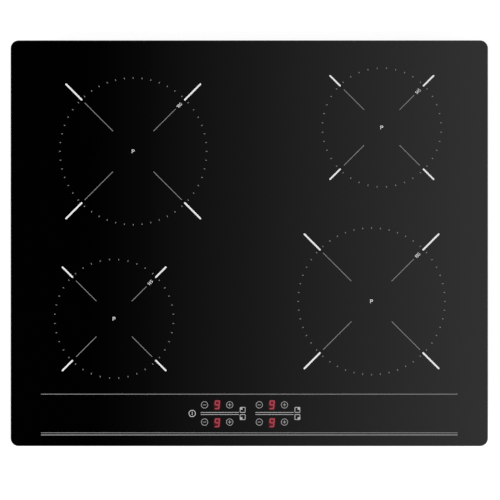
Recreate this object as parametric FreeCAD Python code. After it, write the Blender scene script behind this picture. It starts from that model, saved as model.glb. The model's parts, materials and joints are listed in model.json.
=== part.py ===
# Built-in induction hob with four round cooking zones and a front touch panel.
#
# A glass plate lies on the worktop and carries everything else in the cut-out
# below it: a folded frame bonded to the glass, a pressed steel casing screwed to
# the frame, four sprung coils on an aluminium tray, two power boards with their
# heatsinks and blowers, the mains terminal box, the touch panel and four swivel
# clamps that grip the worktop from below.
#
# Millimetres. +Z is up, the user stands at -Y, and the origin is the centre of
# the casing's flat bottom. Every solid is one physical piece; each node is one
# sub-part, and identical small pieces share a node.
import FreeCAD
import Part
import math
import os

V = FreeCAD.Vector
UP = V(0, 0, 1)
PLUS_X = V(1, 0, 0)
PLUS_Y = V(0, 1, 0)

# ---------------------------------------------------------------- sizes

# Glass plate and its rest on the worktop
glass_width = 600.0
glass_depth = 510.0
glass_thickness = 4.0
glass_corner_radius = 10.0
glass_bevel = 0.8
glass_lower_bevel = 0.4
overall_height = 55.0
seal_width = 6.0
seal_thickness = 3.0
seal_inset = 1.6

# Worktop cut-out that the casing drops into
rest_side = 20.0
rest_end = 10.0
cutout_side_gap = 3.0
cutout_end_gap = 4.0
worktop_thickness = 30.0

# Pressed steel casing
sheet = 0.8
casing_corner_radius = 12.0
casing_bend_radius = 2.6
casing_top_gap = 2.0
pad_depth = 2.2
pad_radius = 8.0
pad_draft = 1.2
bead_width = 12.0
bead_length = 150.0
bead_depth = 2.4
bead_draft = 1.4
bead_pitch = 34.0
vent_width = 3.2
vent_height = 17.0
vent_rise = 4.0
vent_pitch = 8.0
vent_count = 15
side_vent_count = 11
floor_vent_length = 26.0
inlet_ring_width = 3.2
inlet_ring_pitch = 6.0
inlet_ring_count = 4
inlet_spoke = 4.0

# Folded frame bonded under the glass
frame_sheet = 1.0
frame_flange = 6.0
frame_skirt = 20.0
frame_fit = 0.2
bond_width = 4.5
bond_inset = 0.8
bond_thickness = 1.0
frame_screw_drop = 11.0
front_screw_count = 4
side_screw_count = 2
front_screw_margin = 73.0
side_screw_margin = 129.0

# Screws
base_screw_radius = 2.0
base_screw_head_radius = 3.8
base_screw_head = 1.8
base_screw_chamfer = 0.7
base_screw_length = 6.0
hole_clearance = 0.1
clamp_screw_radius = 2.5

# Swivel clamps
clamp_thickness = 2.0
clamp_width = 16.0
clamp_reach = 31.0
clamp_joggle = 2.0
clamp_head_radius = 4.6
clamp_head = 2.2
clamp_nut_flats = 8.0
clamp_nut = 4.0
clamp_fit = 0.08
clamp_play = 0.15
pocket_depth = 24.0
pocket_end_gap = 4.0
pocket_corner_radius = 4.0
pocket_headroom = 0.3
clamp_end_gap = 79.0
clamp_tip_radius = 2.7
clamp_socket_flats = 4.0
clamp_socket_floor = 0.7
clamp_screw_end = 2.0

# Cooking zones: nominal diameters, and how far their centres lie from the glass's edges
large_zone_diameter = 180.0
small_zone_diameter = 145.0
rear_left_side = 154.2
rear_left_end = 139.6
rear_right_side = 133.5
rear_right_end = 109.6
front_left_side = 130.2
front_left_end = 160.0
front_right_side = 146.4
front_right_end = 182.0

# Coil assemblies
winding_margin = 5.0
winding_inner_radius = 26.0
winding_pitch = 4.0
litz_width = 3.2
litz_height = 3.5
winding_fit = 0.3
former_plate = 2.0
former_wall = 1.7
former_wall_height = 2.8
former_window_width = 9.0
former_window_start = 36.0
former_window_end_gap = 20.0
ferrite_width = 14.0
ferrite_height = 5.0
ferrite_start = 28.0
ferrite_wall = 1.2
ferrite_fit = 0.2
mica_thickness = 2.0
mica_bore_radius = 11.0
sensor_radius = 6.0
sensor_cap_radius = 8.0
sensor_cap_height = 4.0
sensor_flange_radius = 10.0
sensor_flange_thickness = 1.5
spring_length = 30.0
spring_foot = 5.0
spring_width = 9.0
spring_sheet = 0.6
spring_inset = 8.3
spring_count = 3

# Aluminium coil tray and its legs
tray_sheet = 1.0
tray_height = 34.0
tray_front_gap = 66.0
tray_rear_gap = 9.0
tray_side_gap = 19.0
tray_corner_radius = 6.0
tray_leg_width = 18.0
tray_foot = 14.0
tray_flange = 5.0
tray_vent_length = 28.0
tray_vent_width = 6.0
tray_leg_rear_gap = 36.0
tray_leg_front_gap = 146.0
tray_slot_length = 16.0
tray_slot_width = 12.0

# Blowers
blower_rear_gap = 121.0
blower_board_gap = 6.0
impeller_radius = 32.0
blade_depth = 7.5
blade_thickness = 0.9
blade_bow = 1.6
blade_count = 30
scroll_gap = 3.5
scroll_extra_radius = 12.0
scroll_wall = 1.6
scroll_height = 27.0
outlet_length = 56.0
tongue_angle = 75.0
cover_thickness = 1.6
shaft_radius = 1.5
shaft_fit = 0.05
hub_radius = 17.0
hub_wall = 1.6
rotor_gap = 1.4
stator_radius = 13.5
stator_height = 10.0
stator_boss_radius = 4.0
stator_yoke = 3.0
stator_slot = 2.4
stator_slot_count = 6
intake_radius = 24.0
ear_radius = 6.0
ear_reach = 4.2
ear_thickness = 3.0
ear_angles = (40, 140, 205)

# Power boards and what stands on them
standoff_height = 5.0
standoff_flats = 7.0
board_thickness = 1.6
board_inset = 10.0
board_width = 168.0
board_front_gap = 95.0
board_side_gap = 2.5
heatsink_width = 76.0
heatsink_length = 108.0
heatsink_base = 4.0
heatsink_fin = 1.4
heatsink_fin_count = 11
heatsink_top = 32.0
heatsink_inset = 4.0
transistor_width = 16.0
transistor_length = 21.0
transistor_height = 5.0
transistor_pitch = 24.0
transistor_count = 4
capacitor_width = 30.0
capacitor_depth = 18.0
capacitor_height = 20.0
capacitor_pitch = 26.0
capacitor_count = 4
capacitor_radius = 1.5
capacitor_offset_x = 60.0
choke_radius = 16.0
choke_hole_radius = 8.0
choke_height = 15.0
choke_round = 2.5
choke_front_gap = 24.0
filter_choke_pitch = 48.0
plug_width = 16.0
plug_depth = 8.0
plug_height = 6.0
plug_gap = 1.0

# Mains terminal box
terminal_width = 84.0
terminal_depth = 50.0
terminal_height = 26.0
terminal_wall = 1.8
terminal_flange = 4.0
terminal_side_gap = 26.0
terminal_pole_count = 6
terminal_pitch = 9.0
terminal_block_depth = 20.0
terminal_block_height = 15.0
terminal_block_gap = 6.0
terminal_screw_well = 2.6
terminal_well_depth = 7.5
terminal_well_inset = 5.0
terminal_wire_bore = 2.0
terminal_wire_height = 9.0
terminal_slit = 1.2
terminal_slit_depth = 4.0
terminal_cover_thickness = 2.0
terminal_cover_gap = 0.8
terminal_cover_lift = 0.4
cover_grip_width = 24.0
cover_grip_length = 3.0
cover_grip_depth = 0.8
cover_rib = 1.4
cover_rib_height = 1.6
cover_rib_inset = 4.0
cover_rib_pitch = 12.0
cover_rib_start = 10.0
hinge_barrel_radius = 2.2
hinge_inset = 4.0
hinge_height = 3.4
hinge_pin_radius = 0.9
hinge_pin_fit = 0.08
hinge_end_play = 0.2
cable_bore_radius = 7.0
bush_wall = 2.0
bush_flange = 1.8
bush_flange_thickness = 1.6
bush_window_gap = 1.0
bush_window_length = 26.0

# Filter board beside the terminal box
filter_width = 136.0
filter_depth = 46.0
filter_gap = 8.0

# Touch panel under the front of the glass
panel_centre_x = -6.0
panel_front_offset = 41.1
panel_width = 152.0
panel_depth = 40.0
panel_floor = 42.0
panel_wall = 1.6
panel_peg = 1.4
panel_peg_radius = 2.5
panel_peg_inset = 6.0
touch_board_gap = 0.5
key_column = 15.8
key_row = 10.8
group_pitch = 68.8
power_key_inset = 10.3
display_width = 10.0
display_depth = 13.0
display_gap = 0.3
touch_pad_radius = 4.6

# Leads
lead_radius = 1.6
lead_spacing = 5.0
lead_bend = 6.0
lead_level = 16.0
lead_gap = 0.6
lead_top = 46.0
lead_drop_inset = 13.0
mains_lead_count = 3
mains_lead_pitch = 4.0
mains_lead_gap = 8.0
mains_hole_gap = 0.4
mains_lead_grip = 4.0
filter_tab_pitch = 5.0
filter_tab_inset = 6.0
supply_lead_count = 2
supply_lead_gap = 18.0
supply_lead_inset = 11.7
supply_lead_drop = 28.0
tab_edge_gap = 1.0
board_tab = 4.0
tab_inset = 7.0
tab_half = 2.0
plug_drop = 4.0

# ---------------------------------------------------------------- levels

glass_under = overall_height - glass_thickness
casing_width = glass_width - 2 * (rest_side + cutout_side_gap)
casing_depth = glass_depth - 2 * (rest_end + cutout_end_gap)
casing_top = glass_under - casing_top_gap
half_width = casing_width / 2
half_depth = casing_depth / 2
pad_top = pad_depth + sheet
worktop_under = glass_under - seal_thickness - worktop_thickness
pocket_top = worktop_under + pocket_headroom
clamp_foot = worktop_under - clamp_joggle - clamp_thickness
tray_top = tray_height + tray_sheet
mica_bottom = glass_under - mica_thickness
winding_bottom = mica_bottom - litz_height
former_bottom = winding_bottom - former_plate
ferrite_bottom = former_bottom - ferrite_height
board_bottom = pad_top + standoff_height
frame_top = glass_under - bond_thickness
frame_screw_z = glass_under - frame_screw_drop
board_top = board_bottom + board_thickness
board_centre_x = half_width - pocket_depth - sheet - board_side_gap - board_width / 2
board_edge_x = board_centre_x - board_width / 2
blower_y = half_depth - blower_rear_gap
board_rear_y = blower_y - outlet_length - blower_board_gap
board_front_y = -half_depth + board_front_gap
board_depth = board_rear_y - board_front_y
board_centre_y = (board_front_y + board_rear_y) / 2
lead_drop_y = board_rear_y - lead_drop_inset
scroll_end_radius = impeller_radius + scroll_gap + scroll_extra_radius
tongue_x = (impeller_radius + scroll_gap) * math.cos(math.radians(tongue_angle))
outlet_centre_x = (scroll_end_radius + tongue_x) / 2
terminal_right = half_width - terminal_side_gap
terminal_left = terminal_right - terminal_width
terminal_rear = half_depth - casing_bend_radius
terminal_front = terminal_rear - terminal_depth
terminal_centre_x = (terminal_left + terminal_right) / 2
cable_z = sheet + terminal_height / 2
box_front = terminal_front + terminal_wall
box_rear = terminal_rear - terminal_wall
hinge_y = box_front + hinge_inset
block_top = sheet + terminal_height - terminal_wall
block_bottom = block_top - terminal_block_height
block_front = hinge_y + terminal_block_gap
block_rear = block_front + terminal_block_depth
terminal_wire_z = block_bottom + terminal_wire_height
panel_y = -glass_depth / 2 + panel_front_offset
touch_board_bottom = panel_floor + panel_wall + panel_peg
touch_board_top = touch_board_bottom + board_thickness
scroll_bottom = pad_top
scroll_top = scroll_bottom + scroll_height
rotor_bottom = scroll_bottom + scroll_wall + rotor_gap
rotor_top = scroll_top - rotor_gap

SIDES = {"left": -1, "right": 1}
CORNERS = {
    "front_left": (-1, -1),
    "front_right": (1, -1),
    "rear_left": (-1, 1),
    "rear_right": (1, 1),
}
ZONES = {
    "rear_left": (
        rear_left_side - glass_width / 2,
        glass_depth / 2 - rear_left_end,
        large_zone_diameter,
    ),
    "rear_right": (
        glass_width / 2 - rear_right_side,
        glass_depth / 2 - rear_right_end,
        small_zone_diameter,
    ),
    "front_left": (
        front_left_side - glass_width / 2,
        front_left_end - glass_depth / 2,
        small_zone_diameter,
    ),
    "front_right": (
        glass_width / 2 - front_right_side,
        front_right_end - glass_depth / 2,
        large_zone_diameter,
    ),
}

# ---------------------------------------------------------------- helpers


def box(x0, x1, y0, y1, z0, z1):
    """A block between two corners."""
    return Part.makeBox(x1 - x0, y1 - y0, z1 - z0, V(x0, y0, z0))


def rod(radius, z0, z1, x=0.0, y=0.0):
    """An upright cylinder."""
    return Part.makeCylinder(radius, z1 - z0, V(x, y, z0))


def ring(outer, inner, z0, z1, x=0.0, y=0.0):
    """An upright tube."""
    return rod(outer, z0, z1, x, y).cut(rod(inner, z0, z1, x, y))


def joined(shapes):
    """One solid made of touching pieces, with its seams cleaned away."""
    first, rest = shapes[0], shapes[1:]
    return first.multiFuse(rest).removeSplitter() if rest else first


def cut_all(body, tools):
    """The body less every tool."""
    return body.cut(Part.makeCompound(tools))


def wire_of(curves):
    """A closed wire from curves in order."""
    return Part.Wire([c.toShape() for c in curves])


def rounded_wire(width, depth, radius, z, x=0.0, y=0.0):
    """A rectangle with round corners, flat at height z."""
    a, b, r = width / 2, depth / 2, radius
    k = r * (1 - math.sqrt(0.5))
    points = [
        (a - r, -b), (a - k, -b + k), (a, -b + r), (a, b - r), (a - k, b - k), (a - r, b),
        (-a + r, b), (-a + k, b - k), (-a, b - r), (-a, -b + r), (-a + k, -b + k), (-a + r, -b),
    ]
    p = [V(x + px, y + py, z) for px, py in points]
    curves = []
    for corner in range(4):
        start, middle, end = p[3 * corner: 3 * corner + 3]
        curves.append(Part.Arc(start, middle, end))
        curves.append(Part.LineSegment(end, p[(3 * corner + 3) % 12]))
    return wire_of(curves)


def slab(width, depth, radius, z0, z1, x=0.0, y=0.0):
    """A plate with round corners."""
    return Part.Face(rounded_wire(width, depth, radius, z0, x, y)).extrude(UP * (z1 - z0))


def frame_ring(width, depth, radius, wall, z0, z1):
    """A rectangular ring of one wall thickness, centred on the origin."""
    inner = slab(width - 2 * wall, depth - 2 * wall, max(radius - wall, 0.5), z0, z1)
    return slab(width, depth, radius, z0, z1).cut(inner)


def slot_wire(centre, along, across, length, width):
    """A round-ended slot's outline."""
    reach = along * (length / 2)
    flat = along * ((length - width) / 2)
    side = across * (width / 2)
    return wire_of([
        Part.LineSegment(centre - flat - side, centre + flat - side),
        Part.Arc(centre + flat - side, centre + reach, centre + flat + side),
        Part.LineSegment(centre + flat + side, centre - flat + side),
        Part.Arc(centre - flat + side, centre - reach, centre - flat - side),
    ])


def slot(centre, along, across, length, width, through):
    """A round-ended slot's body, extruded by the vector through from its centre plane."""
    return Part.Face(slot_wire(centre, along, across, length, width)).extrude(through)


def edges_at(shape, z):
    """The edges that lie flat at height z."""
    found = []
    for edge in shape.Edges:
        limits = edge.BoundBox
        if abs(limits.ZMin - z) < 1e-4 and abs(limits.ZMax - z) < 1e-4:
            found.append(edge)
    return found


def spread(count, pitch):
    """Places of a row of equal steps, centred on nought."""
    return [(i - (count - 1) / 2) * pitch for i in range(count)]


def polar(radius, degrees):
    """A flat point from its radius and angle."""
    turn = math.radians(degrees)
    return radius * math.cos(turn), radius * math.sin(turn)


def tube_along(points, radius, bend):
    """A round lead along straight runs joined by tangent arcs."""
    curves = []
    at = points[0]
    for before, corner, after in zip(points, points[1:], points[2:]):
        into = (corner - before).normalize()
        out = (after - corner).normalize()
        half_turn = into.getAngle(out) / 2
        setback = bend * math.tan(half_turn)
        start, end = corner - into * setback, corner + out * setback
        inward = (out - into).normalize()
        middle = corner + inward * (bend / math.cos(half_turn) - bend)
        curves += [Part.LineSegment(at, start), Part.Arc(start, middle, end)]
        at = end
    curves.append(Part.LineSegment(at, points[-1]))
    path = wire_of(curves)
    direction = (points[1] - points[0]).normalize()
    section = Part.Wire(Part.makeCircle(radius, points[0], direction))
    return path.makePipeShell([section], True, False)


def hexagon(flats, z0, z1, x, y):
    """A hexagonal bar by its width across flats."""
    corners = [V(x + a, y + b, z0) for a, b in (polar(flats / math.sqrt(3), 60 * i) for i in range(7))]
    return Part.Face(Part.makePolygon(corners)).extrude(UP * (z1 - z0))


def frustum(radius, draft, z0, z1, x, y):
    """A round pressed form that narrows upwards."""
    return Part.makeCone(radius, radius - draft, z1 - z0, V(x, y, z0))


def placed(shape, x, y, z=0.0, degrees=0.0):
    """A copy of a shape, turned about the upright axis and then moved."""
    copy = shape.copy()
    copy.rotate(V(0, 0, 0), UP, degrees)
    copy.translate(V(x, y, z))
    return copy


def export(name, shapes):
    """Writes one node's solids to its own file, and stops on a bad solid."""
    solids = [solid for shape in shapes for solid in shape.Solids]
    for solid in solids:
        if not solid.isValid() or solid.Volume <= 0:
            raise ValueError(name + " has a bad solid")
    shape = solids[0] if len(solids) == 1 else Part.makeCompound(solids)
    shape.exportStep(os.path.join("parts", name + ".step"))


# ---------------------------------------------------------------- places


def corner_pivot(corner):
    """Where a clamp's pivot screw stands."""
    side, end = CORNERS[corner]
    return side * (half_width - pocket_depth / 2), end * (half_depth - clamp_end_gap)


def board_centre(side):
    """Middle of a power board."""
    return SIDES[side] * board_centre_x, board_centre_y


def blower_centre(side):
    """Axis of a blower, placed so that its outlet faces the heatsink."""
    return SIDES[side] * board_centre_x - outlet_centre_x, blower_y


def scroll_radius(angle):
    """The scroll's inner radius at an angle, growing clockwise from the tongue."""
    share = (360 - tongue_angle - angle) / (360 - tongue_angle)
    return impeller_radius + scroll_gap + share * scroll_extra_radius


def blower_ears(side):
    """Places of a blower's fixing ears, just outside its spiral wall."""
    x, y = blower_centre(side)
    places = []
    for angle in ear_angles:
        a, b = polar(scroll_radius(angle) + scroll_wall + ear_reach, angle)
        places.append((x + a, y + b))
    return places


def grid_corners(x, y, width, depth, inset):
    """Four places, one inset from each corner of a rectangle."""
    a, b = width / 2 - inset, depth / 2 - inset
    return [(x + i * a, y + j * b) for i in (-1, 1) for j in (-1, 1)]


def filter_centre():
    """Middle of the filter board."""
    x = terminal_left - terminal_flange - filter_gap - filter_width / 2
    return x, half_depth - sheet - filter_gap - filter_depth / 2


def board_feet():
    """Places of every standoff under the power boards and the filter board."""
    feet = grid_corners(*filter_centre(), filter_width, filter_depth, board_inset)
    for side in SIDES:
        feet += grid_corners(*board_centre(side), board_width, board_depth, board_inset)
    return feet


def leg_feet():
    """Places of the coil tray's feet, with the side that each points to."""
    reach = half_width - tray_side_gap + tray_foot / 2
    rows = (half_depth - tray_leg_rear_gap, -half_depth + tray_leg_front_gap)
    return [(side * reach, y, side) for side in (-1, 1) for y in rows]


def pad_places():
    """Every screw pad pressed into the casing's floor."""
    places = board_feet() + [(x, y) for x, y, _ in leg_feet()]
    return places + blower_ears("left") + blower_ears("right")


def zone_radius(zone):
    """Outer radius of a zone's winding."""
    return ZONES[zone][2] / 2 - winding_margin


def ferrite_count(zone):
    """Eight bars under a large coil and six under a small one."""
    return 8 if zone_radius(zone) > (large_zone_diameter + small_zone_diameter) / 4 else 6


def spring_turns(zone):
    """Angles of a coil's springs, each midway between two ferrite bars."""
    count = ferrite_count(zone)
    gaps = [round(i * count / spring_count) for i in range(spring_count)]
    return [(gap + 0.5) * 360 / count for gap in gaps]


def key_places():
    """Places of the touch fields: the power key, then each zone's minus and plus."""
    places = [(panel_centre_x - panel_width / 2 + power_key_inset, panel_y)]
    for x, y in display_places():
        places += [(x - key_column, y), (x + key_column, y)]
    return places


def display_places():
    """Places of the four power-level digits."""
    rows = [panel_y - key_row, panel_y + key_row]
    return [(panel_centre_x + column * group_pitch / 2, y) for column in (-1, 1) for y in rows]


# ---------------------------------------------------------------- glass and frame


def make_glass():
    """The ceramic glass plate with its ground edge."""
    plate = slab(glass_width, glass_depth, glass_corner_radius, glass_under, overall_height)
    plate = plate.makeChamfer(glass_bevel, edges_at(plate, overall_height))
    return plate.makeChamfer(glass_lower_bevel, edges_at(plate, glass_under))


def make_seal():
    """The foam tape that seals the glass to the worktop."""
    width, depth = glass_width - 2 * seal_inset, glass_depth - 2 * seal_inset
    radius = glass_corner_radius - seal_inset
    return frame_ring(width, depth, radius, seal_width, glass_under - seal_thickness, glass_under)


def make_frame():
    """The folded frame: a flange bonded to the glass and a skirt inside the casing."""
    inset = sheet + frame_fit
    width, depth = casing_width - 2 * inset, casing_depth - 2 * inset
    radius = casing_corner_radius - inset
    flange = frame_ring(width, depth, radius, frame_flange, frame_top - frame_sheet, frame_top)
    skirt = frame_ring(width, depth, radius, frame_sheet, frame_top - frame_skirt, frame_top - frame_sheet)
    return cut_all(joined([flange, skirt]), frame_screw_holes())


def make_bond():
    """The silicone bead between the frame's flange and the glass."""
    inset = sheet + frame_fit + bond_inset
    width, depth = casing_width - 2 * inset, casing_depth - 2 * inset
    return frame_ring(width, depth, casing_corner_radius - inset, bond_width, frame_top, glass_under)


def frame_screw_places():
    """Where screws join the casing's walls to the frame, with their outward directions."""
    places = []
    front_pitch = (casing_width - 2 * front_screw_margin) / (front_screw_count - 1)
    side_pitch = (casing_depth - 2 * side_screw_margin) / (side_screw_count - 1)
    for side in (-1, 1):
        for x in spread(front_screw_count, front_pitch):
            places.append((V(x, side * half_depth, frame_screw_z), V(0, side, 0)))
        for y in spread(side_screw_count, side_pitch):
            places.append((V(side * half_width, y, frame_screw_z), V(side, 0, 0)))
    return places


def frame_screw_holes():
    """Tools for the screw holes in the casing's walls and the frame's skirt."""
    radius = base_screw_radius + hole_clearance
    return [Part.makeCylinder(radius, 4 * sheet, at + out, out * -1) for at, out in frame_screw_places()]


def screw(at, out):
    """A pan-head screw with its head's seat at a point and its head towards out."""
    shank = Part.makeCylinder(base_screw_radius, base_screw_length, at, out * -1)
    head = Part.makeCylinder(base_screw_head_radius, base_screw_head, at, out)
    top = at + out * base_screw_head
    rim = [e for e in head.Edges if len(e.Vertexes) == 1 and e.CenterOfMass.isEqual(top, 1e-4)]
    return joined([head.makeChamfer(base_screw_chamfer, rim), shank])


def make_casing_screws():
    """The screws round the casing's rim."""
    return [screw(at, out) for at, out in frame_screw_places()]


def make_base_screws():
    """The screws that come up through the floor's pads."""
    return [screw(V(x, y, pad_depth), UP * -1) for x, y in pad_places()]


# ---------------------------------------------------------------- casing


def pocket(corner, grow):
    """The recess at a corner in which a clamp is parked, grown by a sheet's thickness."""
    side, end = CORNERS[corner]
    x, y = corner_pivot(corner)
    inner_x = half_width - pocket_depth - grow
    outer_x = half_width + pocket_depth
    back = clamp_width / 2 + pocket_end_gap + grow
    front = clamp_reach + pocket_end_gap + grow
    centre_y = y - end * (front - back) / 2
    top = pocket_top + grow
    shape = slab(outer_x - inner_x, front + back, pocket_corner_radius + grow, -sheet, top)
    return placed(shape, side * (inner_x + outer_x) / 2, centre_y)


def tray_body(inset, floor, top, bend):
    """A round-cornered block with a bent lower edge."""
    width, depth = casing_width - 2 * inset, casing_depth - 2 * inset
    block = slab(width, depth, casing_corner_radius - inset, floor, top)
    return block.makeFillet(bend, edges_at(block, floor))


def pressed_pads(grow, base, top):
    """The floor's round screw pads as drawn cones."""
    return [frustum(pad_radius + grow, pad_draft, base, top, x, y) for x, y in pad_places()]


def pressed_beads(grow, base, top):
    """The floor's long stiffening beads, drawn upwards."""
    beads = []
    for x in spread(4, bead_pitch):
        centre = V(x, board_centre_y, 0)
        lower = slot_wire(centre + UP * base, PLUS_Y, PLUS_X, bead_length + grow, bead_width + grow)
        narrow = bead_width + grow - 2 * bead_draft
        upper = slot_wire(centre + UP * top, PLUS_Y, PLUS_X, bead_length + grow - 2 * bead_draft, narrow)
        beads.append(Part.makeLoft([lower, upper], True, True))
    return beads


def intake_slots():
    """Ring slots under each blower, broken by four spokes."""
    tools = []
    for side in SIDES:
        x, y = blower_centre(side)
        for i in range(inlet_ring_count):
            middle = (i + 1) * inlet_ring_pitch - inlet_ring_width / 2
            outer, inner = middle + inlet_ring_width / 2, middle - inlet_ring_width / 2
            spokes = [box(-outer, outer, -inlet_spoke / 2, inlet_spoke / 2, -sheet, 2 * sheet)]
            spokes.append(box(-inlet_spoke / 2, inlet_spoke / 2, -outer, outer, -sheet, 2 * sheet))
            tools.append(placed(cut_all(ring(outer, inner, -sheet, 2 * sheet), spokes), x, y, 0, 45))
    return tools


def vent_slots():
    """Upright slots in the rear and side walls, and long slots in the floor before each board."""
    tools = []
    z = vent_height / 2 + casing_bend_radius + sheet + vent_rise
    for x in spread(vent_count, vent_pitch):
        for side in SIDES.values():
            start = V(side * board_centre_x + x, -half_depth - sheet, z)
            tools.append(slot(start, UP, PLUS_X, vent_height, vent_width, PLUS_Y * 3 * sheet))
            floor_y = (board_front_y - half_depth) / 2
            start = V(side * board_centre_x + x, floor_y, -sheet)
            tools.append(slot(start, PLUS_Y, PLUS_X, floor_vent_length, vent_width, UP * 3 * sheet))
    for y in spread(side_vent_count, vent_pitch):
        for side in SIDES.values():
            start = V(side * (half_width + sheet), y, z)
            tools.append(slot(start, UP, PLUS_Y, vent_height, vent_width, PLUS_X * side * -3 * sheet))
    return tools


def terminal_openings():
    """The floor's opening under the terminal box and the rear wall's window round the cable bush."""
    left, right = terminal_left + terminal_wall, terminal_right - terminal_wall
    opening = box(left, right, box_front, box_rear, -sheet, 2 * sheet)
    start = V(terminal_centre_x, half_depth - 2 * sheet, cable_z)
    height = 2 * (cable_bore_radius + bush_wall + bush_window_gap)
    return [opening, slot(start, PLUS_X, UP, bush_window_length, height, PLUS_Y * 3 * sheet)]


def make_casing():
    """The pressed casing: drawn pads, beads, pockets, intakes, vents and openings."""
    outside = cut_all(tray_body(0, 0, casing_top, casing_bend_radius), [pocket(c, 0) for c in CORNERS])
    lining = tray_body(sheet, sheet, casing_top + sheet, casing_bend_radius - sheet)
    lining = cut_all(lining, [pocket(c, sheet) for c in CORNERS])
    shell = outside.cut(lining)
    raised = pressed_pads(sheet, sheet / 2, pad_top) + pressed_beads(2 * sheet, sheet / 2, bead_depth + sheet)
    shell = shell.multiFuse(raised)
    tools = pressed_pads(0, 0, pad_depth) + pressed_beads(0, 0, bead_depth)
    tools += [rod(base_screw_radius + hole_clearance, 0, 2 * pad_top, x, y) for x, y in pad_places()]
    tools += [rod(clamp_screw_radius + hole_clearance, 0, casing_top, *corner_pivot(c)) for c in CORNERS]
    tools += intake_slots() + vent_slots() + terminal_openings() + frame_screw_holes()
    return cut_all(shell, tools).removeSplitter()


# ---------------------------------------------------------------- clamps


def clamp_outline(z0, z1):
    """A clamp's plan: round at the pivot and square with round corners at the tip."""
    r, tip = clamp_width / 2, clamp_reach
    corner = clamp_tip_radius
    k = corner * (1 - math.sqrt(0.5))
    face = Part.Face(wire_of([
        Part.Arc(V(0, r, z0), V(-r, 0, z0), V(0, -r, z0)),
        Part.LineSegment(V(0, -r, z0), V(tip - corner, -r, z0)),
        Part.Arc(V(tip - corner, -r, z0), V(tip - k, -r + k, z0), V(tip, -r + corner, z0)),
        Part.LineSegment(V(tip, -r + corner, z0), V(tip, r - corner, z0)),
        Part.Arc(V(tip, r - corner, z0), V(tip - k, r - k, z0), V(tip - corner, r, z0)),
        Part.LineSegment(V(tip - corner, r, z0), V(0, r, z0)),
    ]))
    return face.extrude(UP * (z1 - z0))


def make_clamp(corner):
    """A joggled swivel clamp, parked inside its pocket and pointing to the middle."""
    r, tip, t = clamp_width / 2, clamp_reach, clamp_thickness
    bend = clamp_head_radius + t
    rise = bend + clamp_joggle
    low, high = clamp_foot, clamp_foot + clamp_joggle
    profile = [
        (-r, low), (bend, low), (rise, high), (tip, high),
        (tip, high + t), (rise - t / 2, high + t), (bend - t / 2, low + t), (-r, low + t), (-r, low),
    ]
    strip = Part.Face(Part.makePolygon([V(a, -r, z) for a, z in profile])).extrude(PLUS_Y * 2 * r)
    plate = strip.common(clamp_outline(low, high + t))
    plate = plate.cut(rod(clamp_screw_radius + clamp_fit, low - t, high + 2 * t))
    x, y = corner_pivot(corner)
    return placed(plate, x, y, 0, -90 * CORNERS[corner][1])


def make_clamp_screws():
    """The long screws on which the clamps swing, with hexagon sockets in their heads."""
    screws = []
    seat = clamp_foot - clamp_play
    for corner in CORNERS:
        x, y = corner_pivot(corner)
        head = rod(clamp_head_radius, seat - clamp_head, seat, x, y)
        socket = hexagon(clamp_socket_flats, seat - 2 * clamp_head, seat - clamp_socket_floor, x, y)
        shank = rod(clamp_screw_radius, seat, pocket_top + sheet + clamp_nut + clamp_screw_end, x, y)
        screws.append(joined([head.cut(socket), shank]))
    return screws


def make_clamp_nuts():
    """The nuts on top of the pockets that hold the clamp screws."""
    nuts = []
    floor = pocket_top + sheet
    for corner in CORNERS:
        x, y = corner_pivot(corner)
        nut = hexagon(clamp_nut_flats, floor, floor + clamp_nut, x, y)
        nuts.append(nut.cut(rod(clamp_screw_radius, floor - 1, floor + clamp_nut + 1, x, y)))
    return nuts


# ---------------------------------------------------------------- terminal box


def make_terminal_box():
    """The moulded hood over the mains terminals, open below, with hinge holes for its cover."""
    top = sheet + terminal_height
    hood = box(terminal_left, terminal_right, terminal_front, terminal_rear, sheet, top)
    hood = hood.makeFillet(terminal_wall, edges_at(hood, top))
    flange = terminal_flange
    foot = box(
        terminal_left - flange, terminal_right + flange, terminal_front - flange, terminal_rear,
        sheet, sheet + terminal_wall,
    )
    left, right = terminal_left + terminal_wall, terminal_right - terminal_wall
    cavity = box(left, right, box_front, box_rear, 0, top - terminal_wall)
    length = terminal_width - terminal_wall
    middle = (left + right) / 2
    start = V(middle - length / 2, hinge_y, hinge_height)
    pivot = Part.makeCylinder(hinge_pin_radius + hinge_pin_fit, length, start, PLUS_X)
    start = V(terminal_centre_x, box_rear - terminal_wall, cable_z)
    bush = Part.makeCylinder(cable_bore_radius + bush_wall, 3 * terminal_wall, start, PLUS_Y)
    tools = [cavity, pivot, bush]
    for x in mains_poles():
        start = V(x, terminal_front - terminal_wall, terminal_wire_z)
        tools.append(Part.makeCylinder(lead_radius + mains_hole_gap, 3 * terminal_wall, start, PLUS_Y))
    return cut_all(joined([hood, foot]), tools)


def pole_places():
    """Where the terminal block's poles lie along X."""
    return [terminal_centre_x + offset for offset in spread(terminal_pole_count, terminal_pitch)]


def mains_poles():
    """The poles that feed the filter board, the ones nearest to it."""
    return pole_places()[:mains_lead_count]


def make_terminal_block():
    """Six poles in a row, hanging under the hood's top."""
    half = terminal_pole_count * terminal_pitch / 2
    x, y0, y1, bottom = terminal_centre_x, block_front, block_rear, block_bottom
    block = box(x - half, x + half, y0, y1, bottom, block_top)
    tools = []
    for x in pole_places():
        for y in (y0 + terminal_well_inset, y1 - terminal_well_inset):
            tools.append(rod(terminal_screw_well, bottom - 1, bottom + terminal_well_depth, x, y))
        start = V(x, y0 - 1, terminal_wire_z)
        tools.append(Part.makeCylinder(terminal_wire_bore, terminal_block_depth + 2, start, PLUS_Y))
    slit = terminal_slit / 2
    for x in pole_places()[1:]:
        x -= terminal_pitch / 2
        tools.append(box(x - slit, x + slit, y0 - 1, y1 + 1, bottom - 1, bottom + terminal_slit_depth))
    return cut_all(block, tools)


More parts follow.
